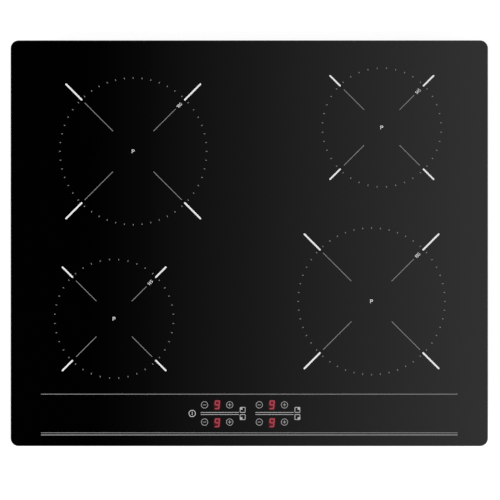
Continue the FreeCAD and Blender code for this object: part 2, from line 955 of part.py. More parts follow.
def make_terminal_cover():
    """The cover that swings down under the terminals on two moulded pins."""
    gap = terminal_cover_gap
    left, right = terminal_left + terminal_wall + gap, terminal_right - terminal_wall - gap
    bottom, top = terminal_cover_lift, terminal_cover_lift + terminal_cover_thickness
    plate = box(left, right, hinge_y - hinge_pin_radius, box_rear - gap, bottom, top)
    barrel = Part.makeCylinder(hinge_barrel_radius, right - left, V(left, hinge_y, hinge_height), PLUS_X)
    reach = gap + terminal_wall / 2 - hinge_end_play
    start = V(left - reach, hinge_y, hinge_height)
    pin = Part.makeCylinder(hinge_pin_radius, right - left + 2 * reach, start, PLUS_X)
    edge = box_rear - gap
    x, half = terminal_centre_x, cover_grip_width / 2
    far, near = edge - cover_grip_length, edge - 2 * cover_grip_length
    grip = box(x - half, x + half, near, far, bottom - 1, bottom + cover_grip_depth)
    left, right = left + cover_rib_inset, right - cover_rib_inset
    ribs = []
    for y in (hinge_y + cover_rib_start, hinge_y + cover_rib_start + cover_rib_pitch):
        ribs.append(box(left, right, y, y + cover_rib, top, top + cover_rib_height))
    return joined([plate, barrel, pin] + ribs).cut(grip)


def make_cable_bush():
    """The bush that grips the terminal box's rear wall, through which the mains cable would enter."""
    outer = cable_bore_radius + bush_wall
    start = box_rear - bush_flange_thickness
    end = half_depth + bush_flange_thickness
    at = V(terminal_centre_x, start, cable_z)
    body = Part.makeCylinder(outer, end - start, at, PLUS_Y)
    inner = Part.makeCylinder(outer + bush_flange, bush_flange_thickness, at, PLUS_Y)
    rear = V(terminal_centre_x, terminal_rear, cable_z)
    rim = Part.makeCylinder(outer + bush_flange, bush_flange_thickness, rear, PLUS_Y)
    bore = Part.makeCylinder(cable_bore_radius, end - start + 2, at - PLUS_Y, PLUS_Y)
    return joined([inner, body, rim]).cut(bore)


# ---------------------------------------------------------------- blowers


def scroll_face(offset, z):
    """A blower's plan: a spiral that grows towards a straight outlet, offset outwards."""
    start_radius = impeller_radius + scroll_gap
    start_angle = -math.degrees(math.acos((tongue_x - offset) / (start_radius + offset)))
    steps = 12
    points = []
    for i in range(steps + 1):
        share = i / steps
        angle = start_angle + share * (-360 - start_angle)
        x, y = polar(start_radius + offset + share * scroll_extra_radius, angle)
        points.append(V(x, y, z))
    spiral = Part.BSplineCurve()
    spiral.interpolate(Points=points, FinalTangent=V(0, -1, 0), InitialTangent=V(-1, -0.25, 0))
    end_y = -outlet_length
    right_x = points[-1].x
    left_x = points[0].x
    return Part.Face(wire_of([
        spiral,
        Part.LineSegment(points[-1], V(right_x, end_y, z)),
        Part.LineSegment(V(right_x, end_y, z), V(left_x, end_y, z)),
        Part.LineSegment(V(left_x, end_y, z), points[0]),
    ]))


def make_blower_housing(side):
    """The scroll: a floor with its intake, a spiral wall, an open outlet and three ears."""
    x, y = blower_centre(side)
    shell = scroll_face(scroll_wall, scroll_bottom).extrude(UP * scroll_height)
    cavity = scroll_face(0, scroll_bottom + scroll_wall).extrude(UP * scroll_height)
    near, far = -outlet_length - 1, -outlet_length + 1
    mouth = box(tongue_x, scroll_end_radius, near, far, scroll_bottom + scroll_wall, scroll_top)
    intake = rod(intake_radius, 0, scroll_top)
    body = placed(shell.cut(cavity).cut(mouth).cut(intake), x, y)
    ears = []
    for ear_x, ear_y in blower_ears(side):
        ear = rod(ear_radius, scroll_bottom, scroll_bottom + ear_thickness, ear_x, ear_y)
        ears.append(ear.cut(placed(cavity, x, y)))
    holes = [rod(base_screw_radius, 0, scroll_top, a, b) for a, b in blower_ears(side)]
    return cut_all(joined([body] + ears), holes)


def make_blower_cover(side):
    """The scroll's lid, with the tube in which the rotor's shaft turns."""
    x, y = blower_centre(side)
    lid = scroll_face(scroll_wall, scroll_top).extrude(UP * cover_thickness)
    boss = rod(stator_boss_radius, rotor_bottom + 4 * hub_wall, scroll_top)
    bore = rod(shaft_radius + shaft_fit, 0, scroll_top + cover_thickness / 2)
    return placed(joined([lid, boss]).cut(bore), x, y)


def make_stators():
    """The motors' stators, pressed on to the lids' tubes, with six poles each."""
    stators = []
    for side in SIDES:
        x, y = blower_centre(side)
        top = rotor_top - 2 * hub_wall
        core = ring(stator_radius, stator_boss_radius, top - stator_height, top)
        inner, half = stator_boss_radius + stator_yoke, stator_slot / 2
        gap = box(inner, stator_radius + 1, -half, half, top - stator_height - 1, top + 1)
        gaps = [placed(gap, 0, 0, 0, 360 * i / stator_slot_count) for i in range(stator_slot_count)]
        stators.append(placed(cut_all(core, gaps), x, y))
    return stators


def blade(z0, z1):
    """One forward-curved blade as a bowed strip."""
    inner, outer = impeller_radius - blade_depth, impeller_radius - blade_thickness / 2
    middle = (inner + outer) / 2
    half = blade_thickness / 2
    near, far = V(inner, half, z0), V(outer, half, z0)
    back_near, back_far = V(inner, -half, z0), V(outer, -half, z0)
    face = Part.Face(wire_of([
        Part.Arc(near, V(middle, blade_bow + half, z0), far),
        Part.LineSegment(far, back_far),
        Part.Arc(back_far, V(middle, blade_bow - half, z0), back_near),
        Part.LineSegment(back_near, near),
    ]))
    return face.extrude(UP * (z1 - z0))


def make_impeller(side):
    """The rotor: a cup over the stator, a shaft, a back plate and a ring of blades."""
    x, y = blower_centre(side)
    plate_bottom = rotor_top - hub_wall
    cup = rod(hub_radius, rotor_bottom + hub_wall, rotor_top)
    cup = cup.cut(rod(hub_radius - hub_wall, rotor_bottom + 2 * hub_wall, rotor_top))
    plate = ring(impeller_radius, hub_radius - hub_wall, plate_bottom, rotor_top)
    shroud = ring(impeller_radius, impeller_radius - blade_depth / 2, rotor_bottom, rotor_bottom + hub_wall)
    shaft = rod(shaft_radius, rotor_bottom + 1.5 * hub_wall, scroll_top)
    one = blade(rotor_bottom + hub_wall / 2, plate_bottom + hub_wall / 2)
    blades = [placed(one, 0, 0, 0, 360 * i / blade_count) for i in range(blade_count)]
    return placed(joined([plate, cup, shaft, shroud] + blades), x, y)


# ---------------------------------------------------------------- boards


def make_standoffs():
    """The hexagon standoffs under the boards, tapped for the floor's screws."""
    depth = base_screw_length - sheet
    pillars = []
    for x, y in board_feet():
        pillar = hexagon(standoff_flats, pad_top, board_bottom, x, y)
        pillars.append(pillar.cut(rod(base_screw_radius, pad_top - 1, pad_top + depth, x, y)))
    return pillars


def board_slab(x, y, width, depth):
    """A circuit board with the holes over its standoffs."""
    board = box(x - width / 2, x + width / 2, y - depth / 2, y + depth / 2, board_bottom, board_top)
    radius = base_screw_radius + hole_clearance
    corners = grid_corners(x, y, width, depth, board_inset)
    return cut_all(board, [rod(radius, 0, 2 * board_top, a, b) for a, b in corners])


def make_power_board(side):
    """A power board with the tabs for its leads and, on the right, the panel's plug."""
    x, y = board_centre(side)
    pieces = [board_slab(x, y, board_width, board_depth)] + [tab(at) for at in lead_tabs(side)]
    if side == "right":
        pieces.append(panel_plug())
    return joined(pieces)


def make_filter_board():
    """The filter board with its tabs for the mains leads and for the power boards' leads."""
    board = board_slab(*filter_centre(), filter_width, filter_depth)
    return joined([board] + [tab(at) for at in filter_tabs()])


def tab(at):
    """An upright blade on a board, by the middle of its top."""
    half = tab_half
    return box(at.x - half, at.x + half, at.y - half, at.y + half, board_top, at.z)


def panel_plug():
    """The plug on the right power board's inner edge for the touch panel's cable."""
    left = board_edge_x + tab_edge_gap
    front = board_front_y + board_inset + plug_depth
    return box(left, left + plug_depth, front, front + plug_width, board_top, board_top + plug_height)


def heatsink_centre(side):
    """Middle of a heatsink, in line with its blower's outlet."""
    x, _ = board_centre(side)
    return x, board_rear_y - heatsink_length / 2 - heatsink_inset


def make_heatsink(side):
    """A finned extrusion over the transistors."""
    x, y = heatsink_centre(side)
    base = board_top + transistor_height
    y0, y1 = y - heatsink_length / 2, y + heatsink_length / 2
    half = heatsink_width / 2
    pieces = [box(x - half, x + half, y0, y1, base, base + heatsink_base)]
    pitch = (heatsink_width - heatsink_fin) / (heatsink_fin_count - 1)
    for offset in spread(heatsink_fin_count, pitch):
        start = x + offset - heatsink_fin / 2
        pieces.append(box(start, start + heatsink_fin, y0, y1, base + heatsink_base, heatsink_top))
    return joined(pieces)


def make_transistors():
    """The power transistors, pressed under the heatsinks."""
    pieces = []
    for side in SIDES:
        x, y = heatsink_centre(side)
        for offset in spread(transistor_count, transistor_pitch):
            y0 = y + offset - transistor_width / 2
            half = transistor_length / 2
            top = board_top + transistor_height
            pieces.append(box(x - half, x + half, y0, y0 + transistor_width, board_top, top))
    return pieces


def make_capacitors():
    """The film capacitors in a row beside each heatsink."""
    pieces = []
    for side in SIDES:
        x = SIDES[side] * (board_centre_x + capacitor_offset_x)
        for offset in spread(capacitor_count, capacitor_pitch):
            y = heatsink_centre(side)[1] + offset
            top = board_top + capacitor_height
            body = slab(capacitor_width, capacitor_depth, capacitor_radius, board_top, top)
            pieces.append(placed(body, x, y))
    return pieces


def make_chokes():
    """The ring chokes: two on the filter board and one at the front of each power board."""
    ring_shape = ring(choke_radius, choke_hole_radius, board_top, board_top + choke_height)
    ring_shape = ring_shape.makeChamfer(choke_round, edges_at(ring_shape, board_top + choke_height))
    x, y = filter_centre()
    places = [(x + offset, y) for offset in spread(2, filter_choke_pitch)]
    for side in SIDES:
        places.append((board_centre(side)[0], board_front_y + choke_front_gap))
    return [placed(ring_shape, a, b) for a, b in places]


# ---------------------------------------------------------------- coil tray and coils


def make_tray():
    """The aluminium tray: stiffened edges, legs to the floor and holes for sensors and leads."""
    left, right = -(half_width - tray_side_gap), half_width - tray_side_gap
    front, rear = -half_depth + tray_front_gap, half_depth - tray_rear_gap
    width, depth = right - left, rear - front
    deck = slab(width, depth, tray_corner_radius, tray_height, tray_top)
    deck = placed(deck, 0, (front + rear) / 2)
    inset = tray_corner_radius
    pieces = [deck]
    hem = tray_height - tray_flange
    for y in (front, rear - tray_sheet):
        pieces.append(box(left + inset, right - inset, y, y + tray_sheet, hem, tray_height))
    half = tray_leg_width / 2
    for _, y, side in leg_feet():
        edge = side * (half_width - tray_side_gap)
        inner, outer = edge - side * tray_sheet, edge + side * tray_foot
        low, high = sorted((edge, inner))
        pieces.append(box(low, high, y - half, y + half, pad_top, tray_top))
        low, high = sorted((inner, outer))
        pieces.append(box(low, high, y - half, y + half, pad_top, pad_top + tray_sheet))
    tools = [rod(base_screw_radius, 0, tray_height / 2, x, y) for x, y, _ in leg_feet()]
    through = UP * 3 * tray_sheet
    vent = slot(V(0, 0, tray_height - tray_sheet), PLUS_Y, PLUS_X, tray_vent_length, tray_vent_width, through)
    for x, y, _ in ZONES.values():
        for turn in (45, 135, 225, 315):
            a, b = polar(tray_vent_length, turn)
            tools.append(placed(vent, x + a, y + b, 0, turn))
    for x, y in lead_slots():
        centre = V(x, y, tray_height - tray_sheet)
        tools.append(slot(centre, PLUS_Y, PLUS_X, tray_slot_length, tray_slot_width, through))
    return cut_all(joined(pieces), tools)


def spiral_arcs(start_radius, half_turns, z):
    """Half circles that grow outwards about two centres, as one smooth spiral edge."""
    arcs = []
    for i in range(half_turns):
        side = 1 if i % 2 == 0 else -1
        centre = 0 if side > 0 else winding_pitch / 2
        radius = start_radius + i * winding_pitch / 2
        start, end = V(centre + side * radius, 0, z), V(centre - side * radius, 0, z)
        arcs.append(Part.Arc(start, V(centre, side * radius, z), end))
    return arcs


def make_winding(zone):
    """A flat coil of litz, wound as one spiral band."""
    x, y, _ = ZONES[zone]
    span = zone_radius(zone) - litz_width - winding_inner_radius
    half_turns = int(2 * span / winding_pitch)
    radius = winding_inner_radius
    inner = [arc.toShape() for arc in spiral_arcs(radius, half_turns, winding_bottom)]
    outer = [arc.toShape() for arc in spiral_arcs(radius + litz_width, half_turns, winding_bottom)]
    end = Part.makeLine(inner[-1].lastVertex(True).Point, outer[-1].lastVertex(True).Point)
    start = Part.makeLine(outer[0].firstVertex(True).Point, inner[0].firstVertex(True).Point)
    face = Part.Face(Part.Wire(inner + [end] + outer[::-1] + [start]))
    return placed(face.extrude(UP * litz_height), x, y)


def ferrite_bar(zone, grow, z0, z1):
    """One radial ferrite bar or, grown, the pocket that holds it."""
    half = ferrite_width / 2 + grow
    end = zone_radius(zone) - former_wall
    return box(ferrite_start - grow, end + grow, -half, half, z0, z1)


def make_ferrites(zone):
    """The ferrite bars under a coil."""
    x, y, _ = ZONES[zone]
    count = ferrite_count(zone)
    bar = ferrite_bar(zone, 0, ferrite_bottom, former_bottom)
    return [placed(bar, x, y, 0, 360 * i / count) for i in range(count)]


def make_former(zone):
    """The coil's moulded carrier: plate, hub, rim, windows, ferrite pockets and walls."""
    x, y, _ = ZONES[zone]
    radius = zone_radius(zone) + winding_fit
    hub = winding_inner_radius - winding_fit
    wall_top = winding_bottom + former_wall_height
    count = ferrite_count(zone)
    plate = ring(radius + former_wall, hub - former_wall, former_bottom, winding_bottom)
    rim = ring(radius + former_wall, radius, winding_bottom, wall_top)
    collar = ring(hub, hub - former_wall, winding_bottom, wall_top)
    pieces = [plate, rim, collar]
    tools = []
    window_end = zone_radius(zone) - former_window_end_gap
    length = window_end - former_window_start
    centre = V((window_end + former_window_start) / 2, 0, former_bottom - 1)
    window = slot(centre, PLUS_X, PLUS_Y, length, former_window_width, UP * (former_plate + 2))
    cup = ferrite_bar(zone, ferrite_fit + ferrite_wall, ferrite_bottom + ferrite_height / 3, former_bottom)
    cup = cup.cut(ferrite_bar(zone, ferrite_fit, ferrite_bottom, former_bottom))
    for i in range(count):
        pieces.append(placed(cup, 0, 0, 0, 360 * i / count))
        tools.append(placed(window, 0, 0, 0, 360 * (i + 0.5) / count))
    return placed(cut_all(joined(pieces), tools), x, y)


def make_mica(zone):
    """The insulating disc between a coil and the glass."""
    x, y, _ = ZONES[zone]
    return ring(zone_radius(zone) + former_wall, mica_bore_radius, mica_bottom, glass_under, x, y)


def make_springs(zone):
    """The bowed leaf springs that press a coil up against the glass."""
    x, y, _ = ZONES[zone]
    half, foot, t = spring_length / 2, spring_foot, spring_sheet
    low, high = tray_top, former_bottom
    bow = wire_of([
        Part.LineSegment(V(0, -half, low), V(0, -half + foot, low)),
        Part.Arc(V(0, -half + foot, low), V(0, 0, high - t), V(0, half - foot, low)),
        Part.LineSegment(V(0, half - foot, low), V(0, half, low)),
        Part.LineSegment(V(0, half, low), V(0, half, low + t)),
        Part.LineSegment(V(0, half, low + t), V(0, half - foot + t, low + t)),
        Part.Arc(V(0, half - foot + t, low + t), V(0, 0, high), V(0, -half + foot - t, low + t)),
        Part.LineSegment(V(0, -half + foot - t, low + t), V(0, -half, low + t)),
        Part.LineSegment(V(0, -half, low + t), V(0, -half, low)),
    ])
    leaf = Part.Face(bow).extrude(PLUS_X * spring_width)
    leaf.translate(V(zone_radius(zone) - spring_inset - spring_width, 0, 0))
    return [placed(leaf, x, y, 0, turn) for turn in spring_turns(zone)]


def make_sensors():
    """The temperature sensors that stand on the tray and touch the glass."""
    sensors = []
    cap_bottom = glass_under - sensor_cap_height
    for x, y, _ in ZONES.values():
        flange = rod(sensor_flange_radius, tray_top, tray_top + sensor_flange_thickness, x, y)
        body = rod(sensor_radius, tray_top, cap_bottom, x, y)
        cap = rod(sensor_cap_radius, cap_bottom, glass_under, x, y)
        sensors.append(joined([flange, body, cap]))
    return sensors


# ---------------------------------------------------------------- touch panel


def make_panel_holder():
    """The shallow tub that holds the touch board up to the glass."""
    half_w, half_d = panel_width / 2, panel_depth / 2
    x, y, wall = panel_centre_x, panel_y, panel_wall
    tub = box(x - half_w, x + half_w, y - half_d, y + half_d, panel_floor, glass_under)
    half_w, half_d = half_w - wall, half_d - wall
    cavity = box(x - half_w, x + half_w, y - half_d, y + half_d, panel_floor + wall, glass_under + 1)
    px, py = plug_place()
    a, b = plug_width / 2 + plug_gap, plug_depth / 2 + plug_gap
    opening = box(px - a, px + a, py - b, py + b, 0, glass_under)
    corners = grid_corners(x, y, panel_width, panel_depth, panel_peg_inset)
    pegs = [rod(panel_peg_radius, panel_floor + wall, touch_board_bottom, a, b) for a, b in corners]
    return joined([tub.cut(cavity).cut(opening)] + pegs)


def plug_place():
    """Middle of the plug under the touch board."""
    return panel_centre_x + panel_width / 2 - 2 * plug_width, panel_y + plug_depth


def make_touch_board():
    """The touch board, with its plug hanging through the tub's floor."""
    gap = panel_wall + touch_board_gap
    half_w, half_d = panel_width / 2 - gap, panel_depth / 2 - gap
    x, y = panel_centre_x, panel_y
    board = box(x - half_w, x + half_w, y - half_d, y + half_d, touch_board_bottom, touch_board_top)
    px, py = plug_place()
    a, b = plug_width / 2, plug_depth / 2
    plug = box(px - a, px + a, py - b, py + b, panel_floor - plug_drop, touch_board_bottom)
    return joined([board, plug])


def make_touch_pads():
    """The conductive foam pads between the touch board and the glass."""
    return [rod(touch_pad_radius, touch_board_top, glass_under, x, y) for x, y in key_places()]


def make_displays():
    """The seven-segment digit modules on the touch board."""
    top = glass_under - display_gap
    a, b = display_width / 2, display_depth / 2
    return [box(x - a, x + a, y - b, y + b, touch_board_top, top) for x, y in display_places()]


# ---------------------------------------------------------------- leads


def rim_place(zone):
    """A point just outside a coil's rim, on the side that faces the middle of the hob."""
    x, y, _ = ZONES[zone]
    reach = zone_radius(zone) + winding_fit + former_wall + lead_gap + lead_radius
    return x - math.copysign(reach, x), y


def drop_x(zone, offset):
    """Where a rear coil's lead goes down through the tray."""
    x, _ = rim_place(zone)
    side = math.copysign(1, x)
    shift = tray_slot_length if zone == "rear_right" else 0
    return x - side * (shift + lead_spacing / 2 + offset)


def lead_slots():
    """Where the coils' leads pass through the tray."""
    slots = [rim_place("front_left"), rim_place("front_right")]
    return slots + [(drop_x(zone, 0), rim_place(zone)[1]) for zone in ("rear_left", "rear_right")]


def tab_x(side):
    """Middle of the tabs along a board's inner edge."""
    return SIDES[side] * (board_edge_x + tab_inset)


def lead_tabs(side):
    """Tops of a power board's tabs, where its coils' and supply leads end."""
    top = lead_level + lead_radius
    tabs = []
    for i, offset in enumerate(spread(2, lead_spacing)):
        tabs.append(V(tab_x(side), lead_drop_y + offset, top))
        tabs.append(V(tab_x(side), supply_turn(i), top))
        if side == "left":
            x, y = rim_place("front_left")
            tabs.append(V(x, y + offset, board_top + board_tab))
        else:
            tabs.append(V(tab_x(side), rim_place("front_right")[1] + offset, top))
    return tabs


def supply_turn(number):
    """Where a supply lead turns towards its power board."""
    return board_rear_y - supply_lead_drop - number * lead_spacing


def supply_x(side, number):
    """Where a supply lead leaves the filter board, so that each pair nests round its turn."""
    if side == "right":
        return board_edge_x - supply_lead_gap - number * lead_spacing
    return filter_centre()[0] - filter_width / 2 + supply_lead_inset + number * lead_spacing


def filter_front():
    """Middle of the row of tabs along the filter board's front edge."""
    return filter_centre()[1] - filter_depth / 2 + tab_edge_gap + tab_half


def mains_end_x(number):
    """Where a mains lead meets the filter board."""
    return filter_centre()[0] + filter_width / 2 - filter_tab_inset - number * filter_tab_pitch


def filter_tabs():
    """Tops of the filter board's tabs."""
    y = filter_front()
    tabs = [V(mains_end_x(i), y, terminal_wire_z + lead_radius) for i in range(mains_lead_count)]
    top = lead_level + lead_radius
    return tabs + [V(supply_x(side, i), y, top) for side in SIDES for i in range(supply_lead_count)]


def mains_route(number):
    """A mains lead: out of its pole and the box's front wall, along it and back to the filter board."""
    x, z = mains_poles()[number], terminal_wire_z
    y = terminal_front - mains_lead_gap - number * mains_lead_pitch
    end_x, end_y = mains_end_x(number), filter_front() - tab_half
    return [V(x, block_front + mains_lead_grip, z), V(x, y, z), V(end_x, y, z), V(end_x, end_y, z)]


def supply_route(side, number):
    """A supply lead: forwards from the filter board and out to the power board's edge."""
    x, y, z = supply_x(side, number), supply_turn(number), lead_level
    end_x = tab_x(side) - SIDES[side] * tab_half
    return [V(x, filter_front() - tab_half, z), V(x, y, z), V(end_x, y, z)]


def front_left_route(offset):
    """The front left coil's lead: straight down to the board below it."""
    x, y = rim_place("front_left")
    return [V(x, y + offset, lead_top), V(x, y + offset, board_top + board_tab)]


def front_right_route(offset):
    """The front right coil's lead: down, and out to the board's edge."""
    x, y = rim_place("front_right")
    y += offset
    return [V(x, y, lead_top), V(x, y, lead_level), V(tab_x("right") - tab_half, y, lead_level)]


def rear_left_route(offset):
    """The rear left coil's lead: down through the tray, forwards and out to the board's edge."""
    x, y = drop_x("rear_left", offset), rim_place("rear_left")[1] + offset
    turn_y = lead_drop_y - offset
    end_x = tab_x("left") + tab_half
    return [V(x, y, lead_top), V(x, y, lead_level), V(x, turn_y, lead_level), V(end_x, turn_y, lead_level)]


def rear_right_route(offset):
    """The rear right coil's lead: along the tray to clear the blower, then as on the left."""
    x, y = rim_place("rear_right")
    y += offset
    down_x = drop_x("rear_right", offset)
    ledge = tray_top + lead_radius + lead_gap
    turn_y = lead_drop_y - offset
    end_x = tab_x("right") - tab_half
    return [
        V(x, y, lead_top), V(x, y, ledge), V(down_x, y, ledge), V(down_x, y, lead_level),
        V(down_x, turn_y, lead_level), V(end_x, turn_y, lead_level),
    ]


def panel_cable_route():
    """The touch panel's cable: back from its plug, down before the tray and on to the board's edge."""
    px, py = plug_place()
    start = V(px, py + plug_depth / 2, panel_floor - plug_drop / 2)
    low = board_top + plug_height / 2
    drop_y = (panel_y + panel_depth / 2 + tray_front()) / 2
    end = V(board_edge_x + tab_edge_gap, board_front_y + board_inset + plug_depth + plug_width / 2, low)
    return [start, V(px, drop_y, start.z), V(px, drop_y, low), V(px, end.y, low), end]


def tray_front():
    """The tray's front edge."""
    return -half_depth + tray_front_gap


def make_wiring():
    """The mains leads, the supply leads, the coils' leads in pairs and the touch panel's cable."""
    routes = [panel_cable_route()] + [mains_route(i) for i in range(mains_lead_count)]
    routes += [supply_route(side, i) for side in SIDES for i in range(supply_lead_count)]
    for offset in spread(2, lead_spacing):
        for route in (front_left_route, front_right_route, rear_left_route, rear_right_route):
            routes.append(route(offset))
    return [tube_along(route, lead_radius, lead_bend) for route in routes]


# ---------------------------------------------------------------- build


def main():
    """Builds every node and writes it."""
    os.makedirs("parts", exist_ok=True)
    export("glass_plate", [make_glass()])
    export("seal_tape", [make_seal()])
    export("silicone_bond", [make_bond()])
    export("carrier_frame", [make_frame()])
    export("casing_tray", [make_casing()])
    export("casing_screws", make_casing_screws())
    export("base_screws", make_base_screws())
    for corner in CORNERS:
        export("clamp_" + corner, [make_clamp(corner)])
    export("clamp_screws", make_clamp_screws())
    export("clamp_nuts", make_clamp_nuts())
    export("terminal_box", [make_terminal_box()])
    export("terminal_block", [make_terminal_block()])
    export("terminal_cover", [make_terminal_cover()])
    export("cable_bush", [make_cable_bush()])
    for side in SIDES:
        export("blower_housing_" + side, [make_blower_housing(side)])
        export("blower_cover_" + side, [make_blower_cover(side)])
        export("impeller_" + side, [make_impeller(side)])
        export("power_board_" + side, [make_power_board(side)])
        export("heatsink_" + side, [make_heatsink(side)])
    export("fan_stators", make_stators())
    export("board_standoffs", make_standoffs())
    export("power_transistors", make_transistors())
    export("film_capacitors", make_capacitors())
    export("ring_chokes", make_chokes())
    export("filter_board", [make_filter_board()])
    export("coil_tray", [make_tray()])
    export("coil_sensors", make_sensors())
    for zone in ZONES:
        export("winding_" + zone, [make_winding(zone)])
        export("coil_former_" + zone, [make_former(zone)])
        export("ferrite_bars_" + zone, make_ferrites(zone))
        export("mica_disc_" + zone, [make_mica(zone)])
        export("coil_springs_" + zone, make_springs(zone))
    export("panel_holder", [make_panel_holder()])
    export("touch_board", [make_touch_board()])
    export("touch_pads", make_touch_pads())
    export("digit_displays", make_displays())
    export("wiring_harness", make_wiring())


main()
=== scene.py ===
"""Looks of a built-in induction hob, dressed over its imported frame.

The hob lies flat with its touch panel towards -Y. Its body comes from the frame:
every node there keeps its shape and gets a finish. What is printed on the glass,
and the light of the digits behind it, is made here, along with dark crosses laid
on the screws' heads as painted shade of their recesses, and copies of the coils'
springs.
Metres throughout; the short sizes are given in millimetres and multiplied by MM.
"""

import json
import logging
import math
from dataclasses import dataclass, field
from enum import Enum
from typing import Callable, Sequence

import bmesh
import bpy
from mathutils import Matrix, Vector


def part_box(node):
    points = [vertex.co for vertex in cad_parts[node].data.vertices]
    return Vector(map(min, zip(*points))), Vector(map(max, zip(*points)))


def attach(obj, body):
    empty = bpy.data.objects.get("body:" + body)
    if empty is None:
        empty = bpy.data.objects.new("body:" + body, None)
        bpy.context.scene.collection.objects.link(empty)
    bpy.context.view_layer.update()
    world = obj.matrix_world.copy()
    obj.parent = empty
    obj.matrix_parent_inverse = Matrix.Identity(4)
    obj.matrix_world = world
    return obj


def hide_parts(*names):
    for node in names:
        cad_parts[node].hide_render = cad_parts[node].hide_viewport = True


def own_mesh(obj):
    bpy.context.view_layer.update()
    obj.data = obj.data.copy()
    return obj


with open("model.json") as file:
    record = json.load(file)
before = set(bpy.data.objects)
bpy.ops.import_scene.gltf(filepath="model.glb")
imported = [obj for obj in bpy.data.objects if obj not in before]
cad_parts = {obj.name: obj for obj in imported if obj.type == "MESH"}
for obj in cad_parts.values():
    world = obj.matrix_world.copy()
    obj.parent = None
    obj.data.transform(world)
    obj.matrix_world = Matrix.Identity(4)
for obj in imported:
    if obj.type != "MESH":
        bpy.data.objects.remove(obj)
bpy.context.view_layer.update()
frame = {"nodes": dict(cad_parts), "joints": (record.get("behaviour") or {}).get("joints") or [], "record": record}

MM = 0.001
HOB = "hob"
LOG = logging.getLogger("hob")

Point = tuple[float, float]
Colour = tuple[float, float, float]


# ---- shader maths


def maths_method(operation: str, swapped: bool = False) -> Callable[["Value", "Value | float"], "Value"]:
    """Makes a method of Value that adds one Math node for two values.

    Args:
        operation: The Math node's operation.
        swapped: Whether the other value comes first.

    Returns:
        The method.
    """

    def method(self: "Value", other: "Value | float") -> "Value":
        """Returns the result for this value and another."""
        return self.maths(operation, *((other, self) if swapped else (self, other)))

    return method


@dataclass(frozen=True)
class Value:
    """A graph's output socket, which adds, multiplies and compares as a number does."""

    graph: "Graph"
    socket: bpy.types.NodeSocket

    __add__ = __radd__ = maths_method("ADD")
    __sub__ = maths_method("SUBTRACT")
    __rsub__ = maths_method("SUBTRACT", swapped=True)
    __mul__ = __rmul__ = maths_method("MULTIPLY")
    __truediv__ = maths_method("DIVIDE")
    __rtruediv__ = maths_method("DIVIDE", swapped=True)
    __pow__ = maths_method("POWER")
    __gt__ = maths_method("GREATER_THAN")
    __lt__ = maths_method("LESS_THAN")
    largest = maths_method("MAXIMUM")

    def maths(self, operation: str, *inputs: "Value | float", clamp: bool = False) -> "Value":
        """Adds one Math node.

        Args:
            operation: The Math node's operation.
            inputs: Its inputs in order.
            clamp: Whether the result is held between 0 and 1.

        Returns:
            The node's result.
        """
        settings = {"operation": operation, "use_clamp": clamp}
        return self.graph.value("ShaderNodeMath", settings, dict(enumerate(inputs)))

    def sine(self) -> "Value":
        """Returns the sine."""
        return self.maths("SINE", self)

    def held(self) -> "Value":
        """Returns the value held between 0 and 1."""
        return self.maths("ADD", self, 0.0, clamp=True)

    def ramp(self, low: float, high: float) -> "Value":
        """Rises smoothly from 0 at one value to 1 at another.

        Args:
            low: Where the rise starts.
            high: Where it ends.

        Returns:
            The smooth share.
        """
        settings = {"interpolation_type": "SMOOTHSTEP", "clamp": True}
        inputs = {"Value": self, "From Min": low, "From Max": high}
        return self.graph.value("ShaderNodeMapRange", settings, inputs, "Result")


